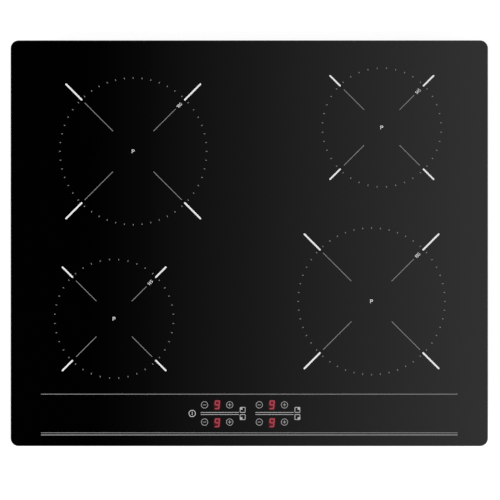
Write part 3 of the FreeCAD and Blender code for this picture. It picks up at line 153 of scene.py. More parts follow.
class Graph:
    """A node tree that is built by plain calls."""

    def __init__(self, tree: bpy.types.NodeTree) -> None:
        """Empties a tree and takes it over.

        Args:
            tree: The material's or world's node tree.
        """
        self.tree = tree
        tree.nodes.clear()

    def feed(self, target: bpy.types.NodeSocket, item: object) -> None:
        """Links a value to an input, or sets the input to a constant.

        Args:
            target: The input.
            item: A Value, a socket, a number, or a colour or vector.
        """
        if isinstance(item, Value):
            self.tree.links.new(item.socket, target)
        elif isinstance(item, bpy.types.NodeSocket):
            self.tree.links.new(item, target)
        elif isinstance(item, (int, float)):
            target.default_value = item
        else:
            size = len(target.default_value)
            target.default_value = (*item, 1.0) if len(item) < size else item

    def node(self, kind: str, settings: dict | None = None, inputs: dict | None = None) -> bpy.types.Node:
        """Adds one node.

        Args:
            kind: The node's Blender type.
            settings: Its properties.
            inputs: Its inputs by name or number.

        Returns:
            The new node.
        """
        node = self.tree.nodes.new(kind)
        for name, setting in (settings or {}).items():
            setattr(node, name, setting)
        for name, item in (inputs or {}).items():
            self.feed(node.inputs[name], item)
        return node

    def value(self, kind: str, settings: dict, inputs: dict, output: str | int = 0) -> Value:
        """Adds one node and returns one of its outputs.

        Args:
            kind: The node's Blender type.
            settings: Its properties.
            inputs: Its inputs by name or number.
            output: The output to return.

        Returns:
            The output as a value.
        """
        return Value(self, self.node(kind, settings, inputs).outputs[output])

    def place(self) -> bpy.types.NodeSocket:
        """Returns the surface point in the object's own metres."""
        return self.node("ShaderNodeTexCoord").outputs["Object"]

    def axes(self, vector: bpy.types.NodeSocket) -> tuple[Value, Value, Value]:
        """Splits a vector into its three parts.

        Args:
            vector: The vector's socket.

        Returns:
            X, Y and Z.
        """
        node = self.node("ShaderNodeSeparateXYZ", inputs={0: vector})
        return tuple(Value(self, out) for out in node.outputs)

    def stretched(self, vector: bpy.types.NodeSocket, scale: Sequence[float]) -> bpy.types.NodeSocket:
        """Scales a vector along each axis.

        Args:
            vector: The vector's socket.
            scale: The three factors.

        Returns:
            The scaled vector's socket.
        """
        inputs = {0: vector, 1: scale}
        return self.node("ShaderNodeVectorMath", {"operation": "MULTIPLY"}, inputs).outputs[0]

    def noise(self, vector: bpy.types.NodeSocket, scale: float, detail: float = 3.0) -> Value:
        """Adds soft noise.

        Args:
            vector: Where to read it.
            scale: Its features per metre.
            detail: How many finer layers it has.

        Returns:
            Noise between 0 and 1.
        """
        inputs = {"Vector": vector, "Scale": scale, "Detail": detail}
        return self.value("ShaderNodeTexNoise", {"noise_dimensions": "3D"}, inputs)

    def cells(self, vector: bpy.types.NodeSocket, scale: float) -> tuple[Value, Value]:
        """Adds Voronoi cells.

        Args:
            vector: Where to read them.
            scale: Cells per metre.

        Returns:
            The distance to a cell's middle, and a random number for each cell.
        """
        node = self.node("ShaderNodeTexVoronoi", {}, {"Vector": vector, "Scale": scale})
        red = self.node("ShaderNodeSeparateColor", inputs={0: node.outputs["Color"]}).outputs[0]
        return Value(self, node.outputs["Distance"]), Value(self, red)

    def mix(self, share: Value | float, low: object, high: object) -> bpy.types.NodeSocket:
        """Mixes two colours.

        Args:
            share: How much of the second colour shows.
            low: The first colour.
            high: The second colour.

        Returns:
            The mixed colour's socket.
        """
        return self.node("ShaderNodeMix", {"data_type": "RGBA"}, {0: share, 6: low, 7: high}).outputs[2]

    def bump(self, height: Value, depth: float) -> bpy.types.NodeSocket:
        """Turns a height into a normal.

        Args:
            height: The relief from 0 to 1.
            depth: What 1 stands for, in metres.

        Returns:
            The normal's socket.
        """
        inputs = {"Height": height, "Distance": depth, "Strength": 1.0}
        return self.node("ShaderNodeBump", {}, inputs).outputs[0]

    def surface(self, **inputs: object) -> None:
        """Ends the graph in one Principled surface.

        Args:
            inputs: The surface's inputs, with _ for a blank in a name.
        """
        named = {name.replace("_", " "): item for name, item in inputs.items()}
        shader = self.node("ShaderNodeBsdfPrincipled", inputs=named)
        self.node("ShaderNodeOutputMaterial", inputs={"Surface": shader.outputs[0]})


# ---- finishes


@dataclass(frozen=True)
class Finish:
    """A named finish that draws its own node graph, with depths and pitches in millimetres."""

    name: str

    def material(self) -> bpy.types.Material:
        """Makes the material.

        Returns:
            The material with its graph drawn.
        """
        made = bpy.data.materials.new(self.name)
        made.use_nodes = True
        self.draw(Graph(made.node_tree))
        return made

    def draw(self, graph: Graph) -> None:
        """Draws the graph.

        Args:
            graph: The new material's empty graph.
        """
        raise NotImplementedError


@dataclass(frozen=True)
class GlassCeramic(Finish):
    """Polished black glass ceramic, with a red glow where digits shine through."""

    glows: tuple[Point, ...]
    glow_half: Point
    glow_colour: Colour = (0.085, 0.004, 0.009)
    glow_edge: float = 0.75
    body: Colour = (0.0004, 0.0004, 0.0004)
    dust: Colour = (0.0011, 0.0011, 0.0011)
    dust_level: Point = (0.62, 0.8)
    roughness: float = 0.022
    clouding: float = 0.02

    def draw(self, graph: Graph) -> None:
        """Draws the graph.

        Args:
            graph: The new material's empty graph.
        """
        place = graph.place()
        x, y, _ = graph.axes(place)
        glow: Value | float = 0.0
        wide, tall = self.glow_half
        for centre_x, centre_y in self.glows:
            a = (x - centre_x) / wide
            b = (y - centre_y) / tall
            glow = (1.0 - (a * a + b * b) ** 0.5).ramp(0.0, self.glow_edge) + glow
        cloud = graph.noise(place, scale=34.0)
        specks = graph.noise(place, scale=2600.0, detail=1.0).ramp(*self.dust_level)
        graph.surface(
            Base_Color=graph.mix(specks, self.body, self.dust),
            Roughness=self.roughness + cloud * self.clouding,
            IOR=1.5,
            Emission_Color=graph.mix(glow.held(), (0.0, 0.0, 0.0), self.glow_colour),
            Emission_Strength=1.0,
        )


@dataclass(frozen=True)
class Enamel(Finish):
    """Fired print on the glass, of one grey tone."""

    tone: float
    thin: float = 0.93
    roughness: float = 0.42
    uneven: float = 0.12
    depth: float = 0.004

    def draw(self, graph: Graph) -> None:
        """Draws the graph.

        Args:
            graph: The new material's empty graph.
        """
        grain = graph.noise(graph.place(), scale=3800.0, detail=2.0)
        graph.surface(
            Base_Color=graph.mix(grain, (self.tone * self.thin,) * 3, (self.tone,) * 3),
            Roughness=self.roughness + grain * self.uneven,
            Normal=graph.bump(grain, self.depth * MM),
        )


@dataclass(frozen=True)
class Lamp(Finish):
    """A lit segment of a digit."""

    colour: Colour
    strength: float
    dimmest: float = 0.88
    unlit: Colour = (0.03, 0.002, 0.004)
    roughness: float = 0.3
    uneven: float = 0.1

    def draw(self, graph: Graph) -> None:
        """Draws the graph.

        Args:
            graph: The new material's empty graph.
        """
        grain = graph.noise(graph.place(), scale=900.0, detail=1.0)
        dim = tuple(part * self.dimmest for part in self.colour)
        graph.surface(
            Base_Color=self.unlit,
            Roughness=self.roughness + grain * self.uneven,
            Emission_Color=graph.mix(grain, dim, self.colour),
            Emission_Strength=self.strength,
        )


@dataclass(frozen=True)
class SheetMetal(Finish):
    """Rolled or coated sheet, with cells for a zinc coating or streaks for rolling."""

    colour: Colour
    roughness: float
    spangle: float = 0.0
    streak: tuple[float, float, float] = (60.0, 900.0, 900.0)
    depth: float = 0.006
    rolling: float = 0.22
    smudging: float = 0.2
    darkest: float = 0.72
    uneven: Point = (0.25, 0.16)

    def draw(self, graph: Graph) -> None:
        """Draws the graph.

        Args:
            graph: The new material's empty graph.
        """
        place = graph.place()
        rolled = graph.noise(graph.stretched(place, self.streak), scale=1.0, detail=4.0)
        smudge = graph.noise(place, scale=14.0)
        _, tint = graph.cells(place, scale=95.0)
        cell = (tint - 0.5) * self.spangle
        shade = (rolled - 0.5) * self.rolling + cell + (smudge - 0.5) * self.smudging + 0.5
        dark = tuple(part * self.darkest for part in self.colour)
        graph.surface(
            Base_Color=graph.mix(shade.held(), dark, self.colour),
            Metallic=1.0,
            Roughness=self.roughness + cell * self.uneven[0] + (smudge - 0.5) * self.uneven[1],
            Normal=graph.bump(rolled, self.depth * MM),
        )


@dataclass(frozen=True)
class Moulding(Finish):
    """Moulded plastic or rubber with a fine grain."""

    colour: Colour
    roughness: float
    grain: float = 1700.0
    depth: float = 0.02
    mottle: float = 0.25
    clouding: float = 0.7
    uneven: float = 0.12

    def draw(self, graph: Graph) -> None:
        """Draws the graph.

        Args:
            graph: The new material's empty graph.
        """
        place = graph.place()
        grain = graph.noise(place, self.grain, detail=2.0)
        cloud = graph.noise(place, scale=45.0)
        light = tuple(part * (1.0 + self.mottle) for part in self.colour)
        graph.surface(
            Base_Color=graph.mix(cloud * self.clouding + grain * (1 - self.clouding), self.colour, light),
            Roughness=self.roughness + (cloud - 0.5) * self.uneven,
            Normal=graph.bump(grain, self.depth * MM),
        )


@dataclass(frozen=True)
class Laminate(Finish):
    """A circuit board: solder mask over fine parallel traces."""

    mask: Colour = (0.012, 0.075, 0.028)
    trace: Colour = (0.03, 0.14, 0.05)
    pitch: float = 2.4
    line_level: float = 0.35
    bare: float = 0.2
    roughness: float = 0.32
    polish: float = 0.06
    depth: float = 0.035

    def draw(self, graph: Graph) -> None:
        """Draws the graph.

        Args:
            graph: The new material's empty graph.
        """
        place = graph.place()
        x, y, _ = graph.axes(place)
        _, block = graph.cells(place, scale=38.0)
        turn = block > 0.5
        along = x * turn + y * (1.0 - turn)
        wave = (along * (2.0 * math.pi / (self.pitch * MM))).sine()
        line = (wave > self.line_level) * (block > self.bare)
        graph.surface(
            Base_Color=graph.mix(line, self.mask, self.trace),
            Roughness=self.roughness - line * self.polish,
            Coat_Weight=0.25,
            Normal=graph.bump(line, self.depth * MM),
        )


@dataclass(frozen=True)
class Litz(Finish):
    """Enamelled copper strands, twisted round each bundle, with painted shade darkening the grooves between
    strands.
    """

    copper: Colour = (0.72, 0.27, 0.11)
    # painted shade: a darker copy of the copper for the grooves between strands
    dark: Colour = (0.23, 0.07, 0.03)
    strand: float = 0.45
    twist: Point = (0.6, 1.4)
    wander: float = 5.0
    roughness: float = 0.34
    uneven: float = 0.14
    depth: float = 0.12

    def draw(self, graph: Graph) -> None:
        """Draws the graph.

        Args:
            graph: The new material's empty graph.
        """
        place = graph.place()
        x, y, z = graph.axes(place)
        warp = graph.noise(place, scale=260.0)
        lay = x + y * self.twist[0] + z * self.twist[1]
        wave = (lay / (self.strand * MM) * math.pi + warp * self.wander).sine() * 0.5 + 0.5
        # the colour falls to the painted shade where the bump sinks into a groove
        graph.surface(
            Base_Color=graph.mix(wave, self.dark, self.copper),
            Metallic=0.85,
            Roughness=self.roughness + warp * self.uneven,
            Normal=graph.bump(wave, self.depth * MM),
        )


@dataclass(frozen=True)
class Mineral(Finish):
    """Pressed or sintered mineral: flakes for mica, specks for ferrite."""

    colour: Colour
    fleck: Colour
    size: float
    roughness: float
    clouding: float = 0.4
    uneven: float = 0.12
    depth: float = 0.03

    def draw(self, graph: Graph) -> None:
        """Draws the graph.

        Args:
            graph: The new material's empty graph.
        """
        place = graph.place()
        distance, tint = graph.cells(place, 1.0 / (self.size * MM))
        cloud = graph.noise(place, scale=60.0)
        share = tint * (1 - self.clouding) + cloud * self.clouding
        graph.surface(
            Base_Color=graph.mix(share.held(), self.colour, self.fleck),
            Roughness=self.roughness + tint * self.uneven,
            Normal=graph.bump(distance, self.depth * MM),
        )


@dataclass(frozen=True)
class Stack(Finish):
    """Thin layers of electrical steel, one above the other."""

    pitch: float = 0.5
    steel: Colour = (0.23, 0.23, 0.24)
    varnish: Colour = (0.06, 0.06, 0.065)
    seam_level: Point = (0.5, 0.95)
    roughness: float = 0.42
    uneven: float = 0.15
    depth: float = 0.05

    def draw(self, graph: Graph) -> None:
        """Draws the graph.

        Args:
            graph: The new material's empty graph.
        """
        place = graph.place()
        _, _, z = graph.axes(place)
        seam = (z * (2.0 * math.pi / (self.pitch * MM))).sine().ramp(*self.seam_level)
        wear = graph.noise(place, scale=300.0)
        graph.surface(
            Base_Color=graph.mix(seam, self.steel, self.varnish),
            Metallic=0.9,
            Roughness=self.roughness + wear * self.uneven,
            Normal=graph.bump(seam, self.depth * MM),
        )


class Look(Enum):
    """The finishes of the record's material slots, each under its slot's name in capitals."""

    FOAM_TAPE = Moulding("closed_cell_foam", (0.012, 0.012, 0.013), 0.86, grain=900.0, depth=0.12)
    SILICONE = Moulding("cured_silicone", (0.02, 0.02, 0.021), 0.5, grain=500.0, depth=0.05)
    GALVANISED_STEEL = SheetMetal("galvanised_sheet", (0.53, 0.54, 0.555), 0.42, spangle=0.4)
    ZINC_SCREWS = SheetMetal("zinc_plate", (0.7, 0.7, 0.68), 0.28, 0.06, streak=(400.0, 400.0, 400.0))
    SPRING_STEEL = SheetMetal("spring_steel", (0.42, 0.42, 0.43), 0.34, 0.04, streak=(900.0, 50.0, 900.0))
    BLACK_PLASTIC = Moulding("black_moulding", (0.014, 0.014, 0.015), 0.52)
    GREY_PLASTIC = Moulding("grey_moulding", (0.16, 0.16, 0.165), 0.55)
    WHITE_PLASTIC = Moulding("white_moulding", (0.66, 0.66, 0.63), 0.48, mottle=0.08)
    BOARD_GREEN = Laminate("solder_mask")
    ALUMINIUM_SHEET = SheetMetal("rolled_aluminium", (0.8, 0.81, 0.82), 0.36)
    ALUMINIUM_EXTRUSION = SheetMetal(
        "extruded_aluminium", (0.74, 0.75, 0.76), 0.4, streak=(700.0, 40.0, 700.0)
    )
    COPPER_LITZ = Litz("copper_strands")
    FERRITE = Mineral("sintered_ferrite", (0.028, 0.028, 0.03), (0.06, 0.06, 0.064), size=0.9, roughness=0.6)
    MICA = Mineral("pressed_mica", (0.42, 0.33, 0.2), (0.66, 0.56, 0.4), size=2.6, roughness=0.4)
    LAMINATION = Stack("laminated_steel")
    FOAM_PADS = Moulding("conductive_foam", (0.03, 0.03, 0.032), 0.9, grain=1200.0, depth=0.15)
    DISPLAY_RED = Moulding("red_filter", (0.12, 0.006, 0.01), 0.2, grain=600.0, depth=0.004)
    SILICONE_LEAD = Moulding("lead_sleeve", (0.5, 0.5, 0.48), 0.45, grain=700.0, depth=0.03)


class Ink(Enum):
    """The fired colours on the glass, each one thin layer."""

    MARKS = Enamel("white_enamel", 0.98)
    ARMS = Enamel("grey_enamel", 0.29)
    RULES = Enamel("rule_enamel", 0.29)
    KEYS = Enamel("key_enamel", 0.46)
    ICONS = Enamel("icon_enamel", 0.5)
    POWER = Enamel("power_enamel", 0.74)


# ---- flat shapes


def polar(radius: float, degrees: float) -> Vector:
    """Turns a radius and an angle into a flat vector.

    Args:
        radius: The distance from the centre.
        degrees: The angle from +X.

    Returns:
        The vector.
    """
    turn = math.radians(degrees)
    return Vector((radius * math.cos(turn), radius * math.sin(turn)))


def arc(centre: Vector, radius: float, start: float, end: float, steps: int = 20) -> list[Vector]:
    """Gives points along an arc.

    Args:
        centre: The arc's centre.
        radius: Its radius.
        start: Its first angle in degrees.
        end: Its last angle in degrees.
        steps: How many pieces it has.

    Returns:
        The points, both ends included.
    """
    return [centre + polar(radius, start + (end - start) * i / steps) for i in range(steps + 1)]


def plus_sign(reach: float, half: float) -> list[Vector]:
    """Gives the outline of a plus sign round the origin.

    Args:
        reach: How far its arms reach.
        half: Half of an arm's width.

    Returns:
        The corners, anticlockwise.
    """
    quarter = [Vector((reach, -half)), Vector((reach, half)), Vector((half, half))]
    return [Matrix.Rotation(math.radians(90 * i), 2) @ p for i in range(4) for p in quarter]


def prism(mesh: bmesh.types.BMesh, floor: Sequence[Vector], roof: Sequence[Vector]) -> None:
    """Adds a closed solid between two outlines with as many points each.

    Args:
        mesh: The mesh that takes it.
        floor: The lower outline, anticlockwise from above.
        roof: The upper outline, point for point.
    """
    low, high = ([mesh.verts.new(point) for point in loop] for loop in (floor, roof))
    mesh.faces.new(high)
    mesh.faces.new(low[::-1])
    for i in range(len(low)):
        j = (i + 1) % len(low)
        mesh.faces.new((low[i], low[j], high[j], high[i]))


def flat_middle(node: str) -> Vector:
    """Gives the middle of a node's box, seen from above.

    Args:
        node: The node's name.

    Returns:
        The middle.
    """
    low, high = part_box(node)
    return ((low + high) / 2).to_2d()


def place_object(name: str, data: bpy.types.ID) -> bpy.types.Object:
    """Makes an object and puts it in the scene.

    Args:
        name: The object's name.
        data: Its mesh, light or camera.

    Returns:
        The new object.
    """
    made = bpy.data.objects.new(name, data)
    bpy.context.scene.collection.objects.link(made)
    return made


def finished_piece(
    name: str, mesh: bmesh.types.BMesh, finish: bpy.types.Material
) -> bpy.types.Object:
    """Turns a gathered mesh into a piece that rides on the hob.

    Args:
        name: The piece's name.
        mesh: The gathered mesh, which is freed.
        finish: Its material.

    Returns:
        The new piece.
    """
    data = bpy.data.meshes.new(name)
    mesh.to_mesh(data)
    mesh.free()
    data.materials.append(finish)
    made = place_object(name, data)
    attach(made, HOB)
    return made


@dataclass
class Print:
    """A thin printed layer, gathered shape by shape and laid on the glass."""

    name: str
    finish: bpy.types.Material
    floor: float
    height: float
    sharpest: float = 0.35
    cap_steps: int = 10
    mesh: bmesh.types.BMesh = field(default_factory=bmesh.new)

    def outline(self, points: Sequence[Vector]) -> None:
        """Adds a closed flat shape.

        Args:
            points: Its corners, either way round.
        """
        area = sum(a.x * b.y - b.x * a.y for a, b in zip(points, [*points[1:], points[0]]))
        loop = points if area > 0 else points[::-1]
        levels = (self.floor, self.floor + self.height)
        prism(self.mesh, *([Vector((p.x, p.y, z)) for p in loop] for z in levels))

    def band(self, inner: Sequence[Vector], outer: Sequence[Vector]) -> None:
        """Adds a closed band between two loops with as many points each.

        Args:
            inner: The inner loop, anticlockwise.
            outer: The outer loop, anticlockwise.
        """
        levels = (self.floor, self.floor + self.height)
        inner_low, inner_high, outer_low, outer_high = (
            [self.mesh.verts.new((p.x, p.y, z)) for p in loop] for loop in (inner, outer) for z in levels
        )
        edges = (inner_high, outer_high, outer_low, inner_low)
        for i in range(len(inner)):
            j = (i + 1) % len(inner)
            for edge, after in zip(edges, (*edges[1:], edges[0])):
                self.mesh.faces.new((edge[i], after[i], after[j], edge[j]))

    def ring(self, centre: Vector, radius: float, width: float, steps: int = 48) -> None:
        """Adds a round line.

        Args:
            centre: Its centre.
            radius: The radius of its middle.
            width: Its width.
            steps: How many pieces it has.
        """
        edges = (radius - width / 2, radius + width / 2)
        self.band(*(arc(centre, edge, 0, 360, steps)[:-1] for edge in edges))

    def stroke(self, points: Sequence[Vector], width: float, round_ends: bool = True) -> None:
        """Adds a line along points, with mitred corners.

        Args:
            points: The line's middle.
            width: Its width.
            round_ends: Whether its ends are half circles.
        """
        half = width / 2
        left, right = [], []
        last = len(points) - 1
        for i, point in enumerate(points):
            into = (point - points[i - 1]).normalized() if i else (points[1] - point).normalized()
            out = (points[i + 1] - point).normalized() if i < last else into
            side = (into + out).normalized().orthogonal()
            reach = half / max(side.dot(into.orthogonal()), self.sharpest)
            left.append(point + side * reach)
            right.append(point - side * reach)
        if round_ends:
            start, end = points[0] - points[1], points[-1] - points[-2]
            cap_start, cap_end = (math.degrees(math.atan2(v.y, v.x)) + 90 for v in (start, end))
            turns = [180 / self.cap_steps * i for i in range(1, self.cap_steps)]
            left += [points[-1] + polar(half, cap_end - turn) for turn in turns]
            right = [points[0] + polar(half, cap_start - turn) for turn in turns[::-1]] + right
        self.outline(left + right[::-1])

    def lay(self) -> bpy.types.Object:
        """Ends the layer and fixes it to the hob.

        Returns:
            The new object.
        """
        bmesh.ops.recalc_face_normals(self.mesh, faces=self.mesh.faces)
        return finished_piece(self.name, self.mesh, self.finish)


@dataclass(frozen=True)
class Numeral:
    """A plain narrow numeral, 1 tall: its width, and its lines from its lower left corner."""

    width: float
    lines: tuple[Sequence[Vector | Point], ...]


ZERO_TOP = arc(Vector((0.25, 0.74)), 0.25, 0, 180, 12)
ZERO_FOOT = arc(Vector((0.25, 0.26)), 0.25, 180, 360, 12)
FIVE_BOWL = arc(Vector((0.22, 0.29)), 0.28, 100, -130, 14)
EIGHT_TOP = arc(Vector((0.25, 0.76)), 0.22, -90, 270, 18)
EIGHT_FOOT = arc(Vector((0.25, 0.27)), 0.26, 90, 450, 18)
NUMERALS = {
    "0": Numeral(0.5, ((*ZERO_TOP, *ZERO_FOOT, ZERO_TOP[0]),)),
    "1": Numeral(0.24, (((0.0, 0.76), (0.24, 1.0), (0.24, 0.0)),)),
    "4": Numeral(0.54, (((0.4, 0.0), (0.4, 1.0), (0.0, 0.3), (0.54, 0.3)),)),
    "5": Numeral(0.5, (((0.46, 1.0), (0.08, 1.0), (0.05, 0.56), *FIVE_BOWL),)),
    "8": Numeral(0.5, (EIGHT_TOP, EIGHT_FOOT)),
}


# ---- the hob's parts


@dataclass(frozen=True)
class ZonePrint:
    """Sizes of one zone's print, and how it is laid.

    The ends of the arms and ticks are shares of the ring's radius, and the gap between
    numerals is a share of their height.
    """

    label: str
    dashes: int
    first_dash: float
    arm: Point
    number_break: float
    tick_end: float
    tick_width: float
    tick_inset: float = 1.5 * MM
    ring_gap: float = 2.2 * MM
    dash: Point = (1.8 * MM, 0.8 * MM)
    line_width: float = 0.72 * MM
    number_height: float = 3.6 * MM
    number_width: float = 0.5 * MM
    number_gap: float = 0.26
    number_inset: float = 10.5 * MM
    number_angle: int = 45
    letter: Point = (3.6 * MM, 4.7 * MM)
    letter_width: float = 0.7 * MM
    bowl: float = 0.29

    @property
    def ring_radius(self) -> float:
        """Radius of the ring of dashes: a little outside a pan of the zone's size."""
        return int(self.label) / 2 * MM + self.ring_gap

    def mark(self, centre: Vector, layers: dict[Ink, Print]) -> None:
        """Lays the zone's ring, arms, number and letter.

        Args:
            centre: The zone's centre.
            layers: The layers by their ink.
        """
        fine, bold = layers[Ink.ARMS], layers[Ink.MARKS]
        length, width = self.dash
        for i in range(self.dashes):
            angle = self.first_dash + 360 * i / self.dashes
            ends = [centre + polar(self.ring_radius + side * length / 2, angle) for side in (-1, 1)]
            fine.stroke(ends, width, round_ends=False)
        cap = self.tick_width / 2
        tick = (self.ring_radius - self.tick_inset + cap, self.ring_radius * self.tick_end - cap)
        line_in, line_out = self.arm
        for angle in (45, 135, 225, 315):
            reach = line_out - self.number_break * (angle == self.number_angle)
            ends = [centre + polar(self.ring_radius * share, angle) for share in (line_in, reach)]
            fine.stroke(ends, self.line_width, round_ends=False)
            bold.stroke([centre + polar(radius, angle) for radius in tick], self.tick_width)
        self.number(centre, bold)
        self.letter_mark(centre, bold)

    def number(self, centre: Vector, layer: Print) -> None:
        """Lays the zone's number along its rear right arm.

        Args:
            centre: The zone's centre.
            layer: The layer for it.
        """
        signs = [NUMERALS[sign] for sign in self.label]
        length = sum(numeral.width for numeral in signs) + self.number_gap * (len(signs) - 1)
        turn = Matrix.Rotation(math.radians(self.number_angle), 2)
        middle = Vector((self.ring_radius - self.number_inset, 0.0))
        edge = -length / 2
        for numeral in signs:
            for line in numeral.lines:
                cells = [Vector((edge + x, y - 0.5)) * self.number_height for x, y in line]
                layer.stroke([centre + turn @ (middle + cell) for cell in cells], self.number_width)
            edge += numeral.width + self.number_gap

    def letter_mark(self, centre: Vector, layer: Print) -> None:
        """Lays the generic letter for a pan's place at the zone's centre.

        Args:
            centre: The zone's centre.
            layer: The layer for it.
        """
        wide, tall = self.letter
        width = self.letter_width
        corner = centre - Vector((wide, tall)) / 2
        radius = tall * self.bowl - width / 2
        bowl_centre = corner + Vector((wide - radius - width / 2, tall - radius - width / 2))
        stem = corner + Vector((width / 2, 0))
        top = corner + Vector((width / 2, tall - width / 2))
        bowl = arc(bowl_centre, radius, 90, -90, 14)
        layer.stroke([stem, top] + bowl + [Vector((top.x, bowl[-1].y))], width, round_ends=False)


LARGE_ZONE = ZonePrint(
    "180", dashes=52, first_dash=0.0, arm=(0.39, 0.935), number_break=0.118, tick_end=1.305,
    tick_width=2.15 * MM,
)
SMALL_ZONE = ZonePrint(
    "145", dashes=40, first_dash=4.5, arm=(0.422, 0.904), number_break=0.134, tick_end=1.242,
    tick_width=2.05 * MM,
)


@dataclass(frozen=True)
class SevenSegment:
    """A slanted seven-segment digit."""

    width: float = 6.7 * MM
    height: float = 11.2 * MM
    bar: float = 1.65 * MM
    gap: float = 0.12 * MM
    slant: float = math.radians(6)

    def bars(self) -> list[list[Point]]:
        """Gives the lit bars of a nine, mitred where they meet.

        Returns:
            The corners of each bar, before the slant, from the digit's centre.
        """
        wide, tall, bar, gap = self.width / 2, self.height / 2, self.bar, self.gap
        inner, lower = wide - bar, tall - bar
        top = [(gap - wide, tall), (wide - gap, tall), (inner - gap, lower), (gap - inner, lower)]
        side = [(wide, tall - gap), (wide, gap), (wide - bar / 2, gap), (inner, bar / 2 + gap)]
        side.append((inner, lower - gap))
        half_bar = [(gap - inner, bar / 2), (inner - gap, bar / 2), (inner + bar / 2 - gap, 0.0)]
        middle = half_bar + [(-x, -y) for x, y in half_bar]
        flipped = [[(x, -y) for x, y in shape] for shape in (top, side)]
        return [top, side, [(-x, y) for x, y in side], middle, *flipped]

    def nine(self, centre: Vector, layer: Print) -> None:
        """Lays a nine.

        Args:
            centre: The digit's centre.
            layer: The layer for it.
        """
        for bar in self.bars():
            layer.outline([centre + Vector((x + y * math.tan(self.slant), y)) for x, y in bar])


@dataclass(frozen=True)
class PanelPrint:
    """Sizes and places of the touch panel's print, from the panel's middle."""

    key_column: float = 15.8 * MM
    key_row: float = 10.8 * MM
    group_pitch: float = 68.8 * MM
    power_key: float = -65.7 * MM
    key_radius: float = 4.05 * MM
    key_line: float = 0.6 * MM
    power_line: float = 0.7 * MM
    sign: float = 4.0 * MM
    power_reach: float = 2.2 * MM
    digit_drop: float = 0.9 * MM
    icon: float = 6.3 * MM
    icon_line: float = 0.83 * MM
    icon_corners: Point = (0.35 * MM, 1.1 * MM)
    icon_spot: float = 0.04
    icon_place: Point = (32.1 * MM, 4.5 * MM)
    rule_span: Point = (-20.6 * MM, 27.3 * MM)
    rule_width: float = 0.8 * MM
    rule_pair: float = 1.3 * MM
    long_rules: tuple[Point, ...] = (
        (24.25 * MM, 0.8 * MM), (-24.3 * MM, 0.75 * MM), (-26.95 * MM, 1.15 * MM),
    )
    long_rule_half: float = 261.7 * MM

    def digit_places(self, centre: Vector) -> list[Vector]:
        """Gives the centres of the four digits.

        Args:
            centre: The panel's middle.

        Returns:
            The four places.
        """
        columns = (-self.group_pitch / 2, self.group_pitch / 2)
        rows = (-self.key_row - self.digit_drop, self.key_row)
        return [centre + Vector((x, y)) for x in columns for y in rows]

    def key(self, centre: Vector, layer: Print, plus: bool) -> None:
        """Lays a round key with a minus or a plus.

        Args:
            centre: The key's centre.
            layer: The layer for it.
            plus: Whether the sign is a plus.
        """
        layer.ring(centre, self.key_radius, self.key_line)
        reach = self.sign / 2
        if plus:
            layer.outline([centre + point for point in plus_sign(reach, self.key_line / 2)])
        else:
            ends = [centre - Vector((reach, 0)), centre + Vector((reach, 0))]
            layer.stroke(ends, self.key_line, round_ends=False)

    def zone_icon(self, centre: Vector, corner: Point, layer: Print) -> None:
        """Lays a square with round corners, one corner filled to show which zone is meant.

        Args:
            centre: The icon's centre.
            corner: The filled corner's direction.
            layer: The layer for it.
        """
        line = self.icon_line
        outer = (self.icon + line) / 2
        loops = []
        for half, radius in zip((outer - line, outer), self.icon_corners):
            loop = []
            for turn, (i, j) in enumerate(((1, 1), (-1, 1), (-1, -1), (1, -1))):
                middle = centre + Vector((i * (half - radius), j * (half - radius)))
                loop += arc(middle, radius, 90 * turn, 90 * turn + 90, 5)
            loops.append(loop)
        layer.band(*loops)
        far, near = outer - line, self.icon * self.icon_spot
        spot = ((near, near), (far, near), (far, far), (near, far))
        layer.outline([centre + Vector((corner[0] * x, corner[1] * y)) for x, y in spot])

    def mark(self, centre: Vector, layers: dict[Ink, Print]) -> None:
        """Lays the whole panel.

        Args:
            centre: The panel's middle.
            layers: The layers by their ink.
        """
        keys, rules, power_key = layers[Ink.KEYS], layers[Ink.RULES], layers[Ink.POWER]
        for column in (-1, 1):
            middle = centre + Vector((column * self.group_pitch / 2, 0))
            for row in (-1, 1):
                for side in (-1, 1):
                    place = middle + Vector((side * self.key_column, row * self.key_row))
                    self.key(place, keys, plus=side > 0)
                icon = middle + Vector((self.icon_place[0], row * self.icon_place[1]))
                self.zone_icon(icon, (column, row), layers[Ink.ICONS])
                ends = [middle + Vector((x, row * self.rule_pair)) for x in self.rule_span]
                keys.stroke(ends, self.rule_width, round_ends=False)
        power = centre + Vector((self.power_key, 0))
        power_key.ring(power, self.key_radius, self.power_line)
        half = Vector((0, self.power_reach))
        power_key.stroke([power - half, power + half], self.power_line, round_ends=False)
        for rise, width in self.long_rules:
            ends = [Vector((side * self.long_rule_half, centre.y + rise)) for side in (-1, 1)]
            rules.stroke(ends, width, round_ends=False)


@dataclass(frozen=True)
class Cooktop:
    """The glass with its prints and lit digits."""

    zones: dict[str, ZonePrint]
    panel: PanelPrint
    digit: SevenSegment
    film: float = 0.04 * MM
    glow_half: Point = (6.0 * MM, 8.2 * MM)
    digit_light: Lamp = Lamp("digit_light", (0.41, 0.046, 0.072), 1.0)

    def build(self) -> list[bpy.types.Object]:
        """Dresses the glass and lays the prints.

        Returns:
            The new pieces.
        """
        middle, top = flat_middle("panel_holder"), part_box("glass_plate")[1].z
        digits = self.panel.digit_places(middle)
        spots = tuple((p.x, p.y) for p in digits)
        glass = GlassCeramic("black_glass_ceramic", spots, self.glow_half).material()
        dress(frame["nodes"]["glass_plate"], glass)
        layers = {}
        for ink in Ink:
            layers[ink] = Print("print_" + ink.name.lower(), ink.value.material(), top, self.film)
        lamps = Print("lit_digits", self.digit_light.material(), top, self.film)
        for zone, sizes in self.zones.items():
            sizes.mark(flat_middle("mica_disc_" + zone), layers)
        self.panel.mark(middle, layers)
        for place in digits:
            self.digit.nine(place, lamps)
        return [layer.lay() for layer in (*layers.values(), lamps)]


